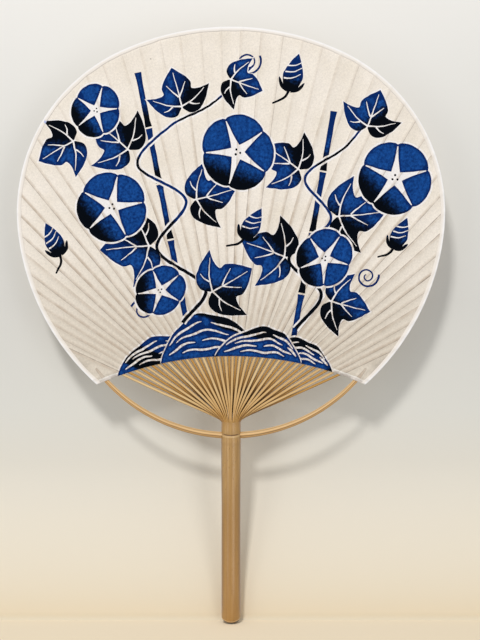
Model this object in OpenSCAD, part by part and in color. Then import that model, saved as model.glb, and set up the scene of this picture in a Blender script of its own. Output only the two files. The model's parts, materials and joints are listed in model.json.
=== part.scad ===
// Round bamboo uchiwa fan. One culm is the handle, and its upper end is split
// into ribs that spread into a head, held by a bow and a woven thread and covered
// by a front and a back sheet with a tape round the rim.
// Millimetres. +Z runs up the handle, the fan lies in the XZ plane, its front
// looks towards -Y, and the origin is the centre of the handle's butt.

/* [Handle] */
// Length of the whole culm, from the butt to where the ribs are split
handle_l = 124.5; // [110:0.5:140]
// Diameter of the straight grip
grip_d = 11.7; // [11:0.1:12.6]
// Height of the upper end of the straight grip, above the butt
grip_top = 70; // [50:1:90]
// Radius of the rounding at the butt, where the straight grip starts
butt_round = 3.5; // [1:0.5:4]
// Diameter of the culm just under its node
node_d = 12.5; // [12:0.1:13.2]
// Diameter of the culm at the neck, where the ribs start
neck_d = 12.1; // [12.1:0.1:12.6]
// Distance from the node down from the split
node_drop = 12; // [10:0.5:16]
// Thickness of the wall that closes the culm at its node
node_wall = 2; // [1:0.5:4]
// Distance from the sheath scar, a fine groove, down from the split
scar_drop = 8; // [6.5:0.5:10]
// Depth of the sheath scar
scar_depth = 0.3; // [0.1:0.05:0.5]
// Width of the sheath scar
scar_w = 0.6; // [0.3:0.1:1.2]
// Bore of the culm below its node
bore_d = 8; // [7:0.1:9]
// Bore of the culm above its node
neck_bore_d = 8.6; // [7:0.1:9]
// Length of the wooden plug in the butt
plug_l = 14; // [8:1:30]

/* [Ribs] */
// Number of ribs from the front half of the culm, and of ribs from its back half
rib_pairs = 24; // [16:1:24]
// Distance from the bow's ends to the outermost ribs, measured in from the rim
outer_rib_gap = 7.67; // [6.5:0.1:12]
// How much closer together the ribs lie at the sides than evenly spread ones
rib_crowding = 0.09; // [0:0.01:0.15]
// Distance from the point that the ribs spread from, down from the split
fan_drop = 2; // [0:0.5:6]
// Width of a rib where the thread holds it
rib_w = 1.6; // [1.2:0.1:1.7]
// Thickness of a rib where the thread holds it
rib_t = 0.9; // [0.6:0.05:1.1]
// Width of a rib at its tip
rib_tip_w = 1.2; // [0.8:0.1:1.6]
// Thickness of a rib at its tip
rib_tip_t = 0.5; // [0.4:0.05:0.8]
// Thickness of a rib where it leaves the culm
rib_root_t = 1.4; // [1:0.1:1.6]
// Length over which a rib still runs straight up from the culm
rib_root_rise = 3; // [2:0.5:5]
// Distance from the tips of the ribs to the rim
rib_tip_inset = 1; // [0.8:0.1:3]

/* [Rim] */
// Height of the head, from the split to the top of the rim
head_h = 245.5; // [235:0.5:260]
// Radius of the arc over the top
top_r = 164; // [150:1:180]
// Radius of the arcs round the shoulders
shoulder_r = 110.5; // [106:0.5:116]
// Radius of the arcs down the flanks
flank_r = 150; // [140:1:160]
// Direction, from upright, where the top arc passes into the shoulder
top_arc_end = 25; // [18:1:32]
// Direction, from upright, where the shoulder arc passes into the flank
shoulder_arc_end = 97; // [92:1:102]

/* [Sheets] */
// Radius of the arched lower edge of the sheets
edge_r = 204; // [190:1:230]
// Height of the middle of that edge above the split
edge_rise = 40.8; // [36:0.2:46]
// Thickness of a sheet
sheet_t = 0.25; // [0.15:0.05:0.4]

/* [Rim tape] */
// Width of the tape on each face
tape_w = 3; // [2:0.5:5]
// Thickness of the tape
tape_t = 0.15; // [0.1:0.05:0.3]

/* [Bow] */
// Distance from the axis of the bow, at the culm, down from the split
bow_drop = 8.5; // [8:0.1:9.5]
// Diameter of the bow in its hole
bow_d = 4.2; // [3:0.1:4.6]
// Width of the bow at its tips, measured in the plane of the fan
bow_tip_w = 2.8; // [2:0.1:3.2]
// Thickness of the bow at its tips
bow_tip_t = 0.8; // [0.6:0.05:0.9]
// Length of bow beyond the thread
bow_tip_l = 6; // [4:0.5:8]

/* [Thread] */
// Distance from the rim in to the thread's ends on the bow
thread_inset = 6.24; // [5.5:0.02:7]
// Diameter of the thread
thread_d = 0.3; // [0.2:0.05:0.35]
// Distance from the sheets' lower edge up to the thread
thread_rise = 3.8; // [3:0.2:6]
// Length of bow that the thread's knot covers
knot_l = 2.5; // [2:0.5:3.5]
// Thickness of the knot over the bow
knot_t = 0.25; // [0.15:0.05:0.3]

/* [Clearances] */
// Clearance between the sheets and what they cover
paste_gap = 0.03; // [0.02:0.01:0.1]
// Clearance between the tape and the sheets
tape_gap = 0.05; // [0.04:0.01:0.1]
// Clearance round the bow in its hole
bow_gap = 0.25; // [0.2:0.05:0.4]
// Clearance round the plug in the bore
plug_gap = 0.05; // [0.02:0.01:0.2]
// Width of the slits between the ribs where they leave the culm
slit_w = 0.05; // [0.03:0.01:0.1]
// Clearance between the thread and the ribs, and between the knot and the bow
thread_gap = 0.03; // [0.02:0.01:0.1]

/* [Hidden] */
$fn = 96;
rib_count = 2 * rib_pairs;
rib_names = [for (i = [1:rib_count]) str("rib_", i < 10 ? "0" : "", i)];

// Heights above the butt.
node_z = handle_l - node_drop;
bow_z = handle_l - bow_drop;
scar_z = handle_l - scar_drop;
rim_top_z = handle_l + head_h;
fan_centre = [0, handle_l - fan_drop];
edge_centre = [0, handle_l + edge_rise - edge_r];
thread_r = edge_r + thread_rise;

// Half thicknesses of what lies between the sheets.
core_half = max(rib_t, bow_tip_t) / 2 + paste_gap;
core_tip_half = rib_tip_t / 2 + paste_gap;
thread_y = rib_t / 2 + thread_gap + thread_d / 2;
thread_half = thread_y + thread_d / 2 + paste_gap;

// Centres of the three arcs of the right half of the rim.
top_centre = [0, rim_top_z - top_r];
shoulder_centre = top_centre + (top_r - shoulder_r) * toward(top_arc_end);
flank_centre = shoulder_centre + (shoulder_r - flank_r) * toward(shoulder_arc_end);

// The bow's arc lies square to the culm and ends where the thread meets it.
function on_thread_from_rim(inset) = meet(flank_centre, flank_r - inset, edge_centre, thread_r);
thread_on_bow = on_thread_from_rim(thread_inset);
bow_chord = thread_on_bow - [0, bow_z];
bow_r = bow_chord * bow_chord / (2 * bow_chord[1]);
bow_centre = [0, bow_z + bow_r];
// Direction of the outermost ribs, from upright.
fan_angle = direction_of(on_thread_from_rim(thread_inset + outer_rib_gap) - fan_centre);

// Unit vector in the fan's plane, at an angle from upright.
function toward(a) = [sin(a), cos(a)];
function direction_of(v) = atan2(v[0], v[1]);
function mix(a, b, f) = a + (b - a) * f;
function clamp01(f) = min(max(f, 0), 1);
function ease(f) = let (c = clamp01(f)) c * c * (3 - 2 * c);
function in_space(p, y) = [p[0], y, p[1]];

// Distance from a point, along a direction, out through a circle that holds the point.
function reach(from, a, centre, r) =
    let (v = centre - from, along = v * toward(a))
    along + sqrt(along * along - v * v + r * r);

// Where two circles meet, on the right when the second lies under the first.
function meet(c1, r1, c2, r2) =
    let (d = norm(c2 - c1), u = (c2 - c1) / d, k = (r1 * r1 - r2 * r2 + d * d) / (2 * d))
    c1 + k * u + sqrt(r1 * r1 - k * k) * [-u[1], u[0]];

// The rim, drawn inwards by inset, as a point for each direction of its arcs.
function rim_centre(a) =
    a < top_arc_end ? top_centre : a < shoulder_arc_end ? shoulder_centre : flank_centre;
function rim_r(a) = a < top_arc_end ? top_r : a < shoulder_arc_end ? shoulder_r : flank_r;
function rim_point(a, inset) =
    let (p = rim_centre(abs(a)) + (rim_r(abs(a)) - inset) * toward(abs(a))) [sign(a) * p[0], p[1]];
function corner_point(inset) = meet(flank_centre, flank_r - inset, edge_centre, edge_r);
function corner_direction(inset) = direction_of(corner_point(inset) - flank_centre);

// Where a line that runs outwards between the ribs crosses the rim, drawn inwards
// by inset, or the sheets' lower edge, raised by rise. The line starts beside the
// ribs' centre, at the distance aside.
function start_point(a, aside) = fan_centre + aside * [cos(a), -sin(a)];
function rim_crossing(a, aside, inset) =
    let (m = a < 0 ? -1 : 1, b = m * a, p = start_point(b, m * aside),
         q1 = p + reach(p, b, top_centre, top_r - inset) * toward(b),
         q2 = p + reach(p, b, shoulder_centre, shoulder_r - inset) * toward(b),
         q3 = p + reach(p, b, flank_centre, flank_r - inset) * toward(b),
         q = direction_of(q1 - top_centre) <= top_arc_end ? q1
             : direction_of(q2 - shoulder_centre) <= shoulder_arc_end ? q2 : q3)
    [m * q[0], q[1]];
function edge_crossing(a, aside, rise) =
    let (p = start_point(a, aside)) p + reach(p, a, edge_centre, edge_r + rise) * toward(a);

// Triangles of a skin over rings of points. Its ends are capped, or joined in a
// loop. A cap pairs the first half of a ring with the second half read backwards.
function cap_faces(first, sides, at_end) =
    [for (j = [0:sides / 2 - 2], part = [0, 1])
        let (a = first + j, b = a + 1, d = first + sides - 1 - j, c = d - 1,
             face = part == 0 ? [b, a, d] : [b, d, c])
        at_end ? [face[0], face[2], face[1]] : face];
function skin_faces(rings, sides, loop) =
    let (last = rings - (loop ? 1 : 2))
    concat(
        [for (i = [0:last], j = [0:sides - 1], part = [0, 1])
            let (n = ((i + 1) % rings) * sides, k = (j + 1) % sides)
            part == 0 ? [i * sides + j, i * sides + k, n + k] : [i * sides + j, n + k, n + j]],
        loop ? [] : cap_faces(0, sides, false),
        loop ? [] : cap_faces((rings - 1) * sides, sides, true));
function flat_list(rings) = [for (r = rings) each r];

module skin(rings, loop = false, inside_out = false) {
    faces = skin_faces(len(rings), len(rings[0]), loop);
    polyhedron(flat_list(rings), inside_out ? [for (f = faces) [f[0], f[2], f[1]]] : faces);
}

// Ribs. An even number springs from the front half of the culm, an odd one from
// the back half, and in the head the two kinds lie side by side by turns.
rib_steps = [0, 0.08, 0.17, 0.27, 0.38, 0.5, 0.62, 0.74, 0.87, 1];
root_outer_r = neck_d / 2;
root_inner_r = neck_d / 2 - rib_root_t;
root_mid_r = (root_outer_r + root_inner_r) / 2;
root_half_angle = 90 / rib_pairs;
// Ribs from the sides of the culm lie stacked front to back at first. Over this
// share of the way to the thread they keep their stack while they fan out.
stack_share = 0.45;
stack_power = 1.5;
// Share of the way over which a rib's section turns to the plane of the fan.
turn_share = 0.3;
// Share of the way after which the ribs of both halves come into one plane.
lane_end = 0.86;
// Length of rib that lies straight under the sheets' lower edge.
edge_lead = 2;
// Share of the room between two ribs of one half that a rib may take near the culm.
rib_fill = 0.76;
// Distance that a sideways rib's bend keeps from the fan's centre, and the share of
// the rest that the bend takes.
bend_clear = 2 * root_mid_r;
bend_share = 0.85;
heading_step = 0.01;

function rib_direction(i) =
    let (u = (2 * i - rib_count + 1) / (rib_count - 1)) fan_angle * u * (1 + rib_crowding * (1 - u * u));
function root_direction(i) = -90 + 2 * root_half_angle * (floor(i / 2) + 0.5);
function rib_side(i) = i % 2 == 0 ? -1 : 1;
function stack_end(i) = stack_share * pow(abs(sin(root_direction(i))), stack_power);
function rib_point(i, rise) = edge_crossing(rib_direction(i), 0, rise);

// Corners of a rib's section at the culm, seen from its middle, on the front half.
function root_corner(i, r, turn) =
    let (a = root_direction(i), s = asin(slit_w / 2 / r), b = a + turn * (root_half_angle - s))
    [r * sin(b) - root_mid_r * sin(a), root_mid_r * cos(a) - r * cos(b)];
function root_section(i) =
    let (c = [root_corner(i, root_outer_r, -1), root_corner(i, root_outer_r, 1),
              root_corner(i, root_inner_r, 1), root_corner(i, root_inner_r, -1)],
         a = root_direction(i), first = a < -45 ? 1 : a > 45 ? 3 : 0)
    [for (j = [0:3]) c[(j + first) % 4]];
function flat_section(w, t) = [[-w, -t], [w, -t], [w, t], [-w, t]] / 2;

// The bent way of a rib from the culm to the sheets, and its direction there.
function rib_way(i, f) =
    let (a = rib_direction(i),
         p0 = [root_mid_r * sin(root_direction(i)), handle_l],
         p3 = rib_point(i, -edge_lead),
         bend = bend_share * (norm(p3 - fan_centre) - bend_clear * abs(sin(a))),
         p1 = p0 + [0, rib_root_rise],
         p2 = p3 - bend * toward(a),
         g = 1 - f)
    g * g * g * p0 + 3 * g * g * f * p1 + 3 * g * f * f * p2 + f * f * f * p3;
function rib_heading(i, f) =
    f == 0 ? 0 : f == 1 ? rib_direction(i)
    : direction_of(rib_way(i, f + heading_step) - rib_way(i, f - heading_step));
// Distance from a rib, square to it, to the next rib of the same half of the culm.
function rib_room(i, f) =
    let (low = max(i - 2, 0), high = min(i + 2, rib_count - 1), a = rib_heading(i, f))
    (rib_way(high, f) - rib_way(low, f)) * [cos(a), -sin(a)] * 2 / (high - low);
function rib_lane(i, f) =
    let (stack = stack_end(i),
         from_root = root_mid_r * cos(root_direction(i)) * (1 - ease((f - stack) / (1 - stack))),
         clear = rib_t / 2 + thread_gap,
         apart = mix(min(root_mid_r * cos(root_direction(i)), clear), clear, ease((f - stack) / turn_share))
             * (1 - ease((f - lane_end) / (1 - lane_end))))
    max(from_root, apart);

function placed_section(section, middle, heading, lane, side) =
    [for (c = section)
        let (p = middle + c[0] * [cos(heading), -sin(heading)]) in_space(p, side * (lane - c[1]))];
function rib_ring(i, f) =
    let (p = rib_way(i, f),
         w = min(rib_w, rib_fill * rib_room(i, f)),
         root = root_section(i), flat = flat_section(w, rib_t),
         section = [for (j = [0:3]) mix(root[j], flat[j], ease((f - stack_end(i)) / turn_share))])
    placed_section(section, p, rib_heading(i, f), rib_lane(i, f), rib_side(i));
function rib_end(i, p, w, t) = placed_section(flat_section(w, t), p, rib_direction(i), 0, rib_side(i));

module rib(i) {
    color("#D2A566")
    skin(concat([for (f = rib_steps) rib_ring(i, f)],
                [rib_end(i, rib_point(i, thread_rise), rib_w, rib_t),
                 rib_end(i, rim_crossing(rib_direction(i), 0, rib_tip_inset), rib_tip_w, rib_tip_t)]),
         inside_out = rib_side(i) < 0);
}

// Handle: a culm with a bore on each side of its node.
module culm_body() {
    grip_r = grip_d / 2;
    node_r = node_d / 2;
    neck_r = neck_d / 2;
    butt_centre = [grip_r - butt_round, butt_round];
    rotate_extrude()
        polygon(concat(
            [[0, 0]],
            [for (a = [0:10:90]) butt_centre + butt_round * [sin(a), -cos(a)]],
            [[grip_r, grip_top], [node_r, node_z - node_wall / 2],
             [neck_r, node_z + node_wall / 2], [neck_r, handle_l], [0, handle_l]]));
}

module sheath_scar() {
    rotate_extrude()
        translate([neck_d / 2 - scar_depth, scar_z])
            polygon([[0, 0], [2 * scar_depth, -scar_w], [2 * scar_depth, scar_w]]);
}

module handle() {
    color("#B08A4C")
    difference() {
        culm_body();
        translate([0, 0, -1]) cylinder(d = bore_d, h = node_z - node_wall / 2 + 1);
        translate([0, 0, node_z + node_wall / 2]) cylinder(d = neck_bore_d, h = node_drop);
        sheath_scar();
        translate([-node_d, 0, bow_z]) rotate([0, 90, 0]) cylinder(d = bow_d + 2 * bow_gap, h = 2 * node_d);
    }
}

module butt_plug() {
    color("#3A2312")
    intersection() {
        culm_body();
        cylinder(d = bore_d - 2 * plug_gap, h = plug_l);
    }
}

// Bow: a bent strip, round in its hole and flat at its tips. Places on it are
// directions from the centre of its arc, measured from straight down.
bow_sides = 16;
bow_steps = 24;
knot_direction = bow_direction(thread_on_bow);
taper_end = bow_direction(meet(bow_centre, bow_r, edge_centre, edge_r - bow_tip_w));
bow_end_direction = knot_direction + bow_tip_l / bow_r * 180 / PI;
bow_step = bow_end_direction / bow_steps;

function bow_direction(p) = atan2(p[0], bow_centre[1] - p[1]);
function bow_half(b, extra) =
    let (f = clamp01(abs(b) / taper_end))
    [mix(bow_d, bow_tip_w, f) / 2 + extra, mix(bow_d, bow_tip_t, f * f) / 2 + extra];
function bow_ring(b, extra) =
    let (out = [sin(b), -cos(b)], middle = bow_centre + bow_r * out, h = bow_half(b, extra))
    [for (j = [0:bow_sides - 1])
        let (a = 360 * j / bow_sides) in_space(middle + h[0] * cos(a) * out, h[1] * sin(a))];

module bow() {
    color("#DDB07C")
    skin([for (k = [-bow_steps:bow_steps]) bow_ring(k * bow_step, 0)], inside_out = true);
}

// Thread: from bow to bow along an arc, in front of one rib and behind the next.
thread_sides = 6;
function on_thread(a) = edge_centre + thread_r * toward(a);
function thread_direction(i) = direction_of(rib_point(i, thread_rise) - edge_centre);
thread_end = direction_of(thread_on_bow - edge_centre);
knot_half_angle =
    (bow_tip_w / 2 + knot_t + 2 * thread_gap) / sin(knot_direction + thread_end) / thread_r * 180 / PI;
function thread_stops(i) =
    let (a = thread_direction(i), half = (rib_w / 2 + thread_d / 2) / cos(rib_direction(i) - a) / thread_r * 180 / PI)
    [[a - half, rib_side(i) * thread_y], [a + half, rib_side(i) * thread_y]];
thread_way = concat([[-thread_end + knot_half_angle, 0]],
                    [for (i = [0:rib_count - 1]) each thread_stops(i)],
                    [[thread_end - knot_half_angle, 0]]);
function thread_slope(k) =
    let (n = len(thread_way), p = thread_way[max(k - 1, 0)], q = thread_way[min(k + 1, n - 1)])
    k == 0 || k == n - 1 ? 0 : atan2(q[1] - p[1], (q[0] - p[0]) * PI / 180 * thread_r);
function thread_ring(k) =
    let (a = thread_way[k][0], y = thread_way[k][1], slope = thread_slope(k), r = thread_d / 2)
    [for (j = [0:thread_sides - 1])
        let (b = 360 * j / thread_sides, across = r * cos(b),
             p = on_thread(a) + r * sin(b) * toward(a) - across * sin(slope) * [cos(a), -sin(a)])
        in_space(p, y + across * cos(slope))];

module weaving_thread() {
    color("#E8DCC2")
    skin([for (k = [0:len(thread_way) - 1]) thread_ring(k)], inside_out = true);
}

// Knot: the end of the thread, wound round the bow near its tip.
knot_steps = [-1, -0.5, 0.5, 1];

module knot(side) {
    half = knot_l / 2 / bow_r * 180 / PI;
    steps = [for (f = knot_steps) side * (knot_direction + f * half)];
    skin(concat([for (b = steps) bow_ring(b, thread_gap + knot_t)],
                [for (k = [len(steps) - 1:-1:0]) bow_ring(steps[k], thread_gap)]),
         loop = true, inside_out = side > 0);
}

module knot_left() {
    color("#E8DCC2")
    knot(-1);
}

module knot_right() {
    color("#E8DCC2")
    knot(1);
}

// Sheets. Each column runs outwards from the lower edge, over the ridge that the
// thread raises, to the rim. Columns lie in the hollows between the ribs and
// along both sides of each rib, so a sheet is drawn over every rib, and in the
// corners it is drawn over the tips of the bow.
sheet_inset = tape_t + tape_gap;
ridge_foot = 3.8;
ridge_rise = 0.3;
ridge_least = 0.3;
// Columns in each corner as far as the tape. One more follows under the tape, and
// it stays a little off the corner's point.
corner_count = 3;
corner_margin = 0.35;
tape_direction = direction_of(corner_point(tape_w + tape_gap) - fan_centre);
tip_direction = direction_of(corner_point(sheet_inset) - fan_centre);
corner_directions = concat(
    [for (k = [1:corner_count]) mix(fan_angle, tape_direction, k / corner_count)],
    [tip_direction - corner_margin]);

// A column is its direction, its distances aside at the edge and at the rim, and
// the half thickness of what lies under it at the edge and at the rim.
function rib_column(i, s) =
    [rib_direction(i), s * (rib_w / 2 + paste_gap), s * (rib_tip_w / 2 + paste_gap), core_half, core_tip_half];
function hollow_column(i) = [(rib_direction(i) + rib_direction(i + 1)) / 2, 0, 0, paste_gap, paste_gap];
function corner_column(s, k) = [s * corner_directions[k], 0, 0, core_half, core_half];
sheet_columns = concat(
    [for (k = [corner_count:-1:0]) corner_column(-1, k)],
    [for (i = [0:rib_count - 1]) each concat(
        [rib_column(i, -1), rib_column(i, 1)], i < rib_count - 1 ? [hollow_column(i)] : [])],
    [for (k = [0:corner_count]) corner_column(1, k)]);

// Lengths along a column are measured from the lower edge. In a corner, where the
// rim is near, the ridge and its foot draw in to stay clear of the tape.
function sheet_ring(c) =
    let (a = c[0], way = toward(a), at_edge = edge_crossing(a, c[1], 0),
         at_rim = rim_crossing(a, c[2], sheet_inset),
         free = max((rim_crossing(a, c[1], tape_w + tape_gap) - at_edge) * way, 2 * ridge_least),
         to_thread = (edge_crossing(a, c[1], thread_rise) - at_edge) * way,
         past_thread = (edge_crossing(a, c[1], thread_rise + ridge_foot) - at_edge) * way,
         foot = min(past_thread, free),
         ridge = min(to_thread, free / 2),
         raised = ease(ridge / to_thread),
         at = [at_edge, at_edge + ridge * way, at_edge + foot * way, at_rim],
         under = [c[3], mix(c[3], thread_half + ridge_rise, raised), c[3], c[4]])
    concat([for (k = [0:3]) in_space(at[k], -under[k])],
           [for (k = [3:-1:0]) in_space(at[k], -under[k] - sheet_t)]);

module front_sheet() {
    color("#EDE3D3")
    skin([for (c = sheet_columns) sheet_ring(c)], inside_out = true);
}

module back_sheet() {
    color("#EDE3D3")
    mirror([0, 1, 0]) skin([for (c = sheet_columns) sheet_ring(c)], inside_out = true);
}

// Tape: folded over the rim from the front to the back, corner to corner. It opens
// a little at the corners, where the bow's tips lie between the sheets.
tape_steps = 60;
opening_share = 0.05;
corner_start = direction_of(rim_crossing(fan_angle, 0, 0) - flank_centre) / corner_direction(0);
function tape_inner_half(f) =
    mix(core_tip_half, core_half, clamp01(1 - (corner_start - abs(f)) / opening_share)) + sheet_t + tape_gap;
function tape_ring(f) =
    let (inner = tape_inner_half(f), outer = inner + tape_t,
         section = [[tape_w, -outer], [0, -outer], [0, outer], [tape_w, outer],
                    [tape_w, inner], [tape_t, inner], [tape_t, -inner], [tape_w, -inner]])
    [for (c = section) in_space(rim_point(f * corner_direction(c[0]), c[0]), c[1])];

module rim_tape() {
    color("#F0E6E6")
    skin([for (k = [-tape_steps:tape_steps]) tape_ring(k / tape_steps)]);
}

handle();
butt_plug();
bow();
weaving_thread();
knot_left();
knot_right();
front_sheet();
back_sheet();
rim_tape();
for (i = [0:rib_count - 1])
    rib(i);
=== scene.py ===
"""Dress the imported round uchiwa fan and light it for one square-on view.

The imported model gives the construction. This script repeats the sizes that the
fan's layout follows and builds its bamboo, cloth, paper and thread at those
places, each with the finish of the real material.
"""
from __future__ import annotations

import json
import logging
import math
import random
from bisect import bisect
from collections.abc import Callable, Mapping, Sequence
from dataclasses import dataclass, field
from enum import Enum
from functools import cached_property, partial
from typing import Any

import bmesh
import bpy
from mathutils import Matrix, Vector, geometry, kdtree, noise
from mathutils.bvhtree import BVHTree

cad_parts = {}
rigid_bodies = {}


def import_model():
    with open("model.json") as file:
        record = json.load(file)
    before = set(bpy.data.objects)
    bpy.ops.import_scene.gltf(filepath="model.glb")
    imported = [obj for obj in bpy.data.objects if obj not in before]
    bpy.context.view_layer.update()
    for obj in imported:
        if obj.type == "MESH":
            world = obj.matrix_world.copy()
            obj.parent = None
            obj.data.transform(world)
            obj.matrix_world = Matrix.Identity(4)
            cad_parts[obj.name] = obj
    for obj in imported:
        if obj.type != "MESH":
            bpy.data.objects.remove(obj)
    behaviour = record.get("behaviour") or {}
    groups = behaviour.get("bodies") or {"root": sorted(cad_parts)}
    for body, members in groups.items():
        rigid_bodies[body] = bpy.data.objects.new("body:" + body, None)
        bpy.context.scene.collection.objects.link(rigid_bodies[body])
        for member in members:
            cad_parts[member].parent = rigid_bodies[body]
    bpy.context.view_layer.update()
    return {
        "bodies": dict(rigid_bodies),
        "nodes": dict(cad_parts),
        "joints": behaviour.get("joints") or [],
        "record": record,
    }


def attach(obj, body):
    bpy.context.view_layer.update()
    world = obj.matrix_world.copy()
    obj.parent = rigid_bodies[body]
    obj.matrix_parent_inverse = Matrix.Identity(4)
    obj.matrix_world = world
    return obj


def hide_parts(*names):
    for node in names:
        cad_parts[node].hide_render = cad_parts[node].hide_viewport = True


LOG = logging.getLogger("uchiwa")
MM = 0.001
BODY = "root"
SMOOTH_ANGLE = math.radians(38)
LINEAR = "LINEAR"
MIX_FACTOR, MIX_A, MIX_B, MIX_RESULT = 0, 6, 7, 2

Points = tuple[tuple[float, float], ...]
Rows = tuple[tuple[float, ...], ...]
Stops = tuple[tuple[float, str], ...]
Triple = tuple[float, float, float]


def toward(angle: float) -> Vector:
    """Return the unit vector in the fan's plane at an angle from upright."""
    return Vector((math.sin(angle), math.cos(angle)))


def right_of(angle: float) -> Vector:
    """Return the unit vector to the right of a direction."""
    return Vector((math.cos(angle), -math.sin(angle)))


def below(angle: float) -> Vector:
    """Return the unit vector at an angle from straight down, to the right."""
    return Vector((math.sin(angle), -math.cos(angle)))


def direction_of(way: Vector) -> float:
    """Return a vector's angle from upright."""
    return math.atan2(way.x, way.y)


def mix(first: Any, second: Any, share: float) -> Any:
    """Return the value that lies a share of the way from the first to the second."""
    return first + (second - first) * share


def between(first: Any, last: Any, count: int) -> list[Any]:
    """Return values at even steps, the first and the last among them."""
    return [mix(first, last, k / count) for k in range(count + 1)]


def spread(count: int) -> list[float]:
    """Return values at even steps from -1 to 1, both among them."""
    return [2 * k / count - 1 for k in range(count + 1)]


def turns(count: int) -> list[float]:
    """Return angles at even steps round a circle."""
    return [2 * math.pi * k / count for k in range(count)]


def clamp01(value: float) -> float:
    """Return the value held between 0 and 1."""
    return min(max(value, 0.0), 1.0)


def ease(value: float) -> float:
    """Return a smooth step of the value between 0 and 1."""
    held = clamp01(value)
    return held * held * (3 - 2 * held)


def reach(start: Vector, angle: float, centre: Vector, radius: float) -> float:
    """Measure from a point, along a direction, out through a circle that holds it.

    Args:
        start: The point inside the circle.
        angle: The direction, from upright.
        centre: The circle's centre.
        radius: The circle's radius.

    Returns:
        The distance to the circle, or nan where the line misses it.
    """
    to_centre = centre - start
    along = to_centre.dot(toward(angle))
    left = along * along - to_centre.dot(to_centre) + radius * radius
    return along + math.sqrt(left) if left >= 0 else math.nan


def meet(first: Vector, first_r: float, second: Vector, second_r: float) -> Vector:
    """Return where two circles meet, on the right when the second lies under the first."""
    apart = (second - first).length
    unit = (second - first) / apart
    along = (first_r * first_r - second_r * second_r + apart * apart) / (2 * apart)
    across = math.sqrt(first_r * first_r - along * along)
    return first + along * unit + across * Vector((-unit.y, unit.x))


def in_space(place: Vector, depth: float) -> Vector:
    """Return a place in the fan's plane as a point in space, in millimetres."""
    return Vector((place.x, depth, place.y))


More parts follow.
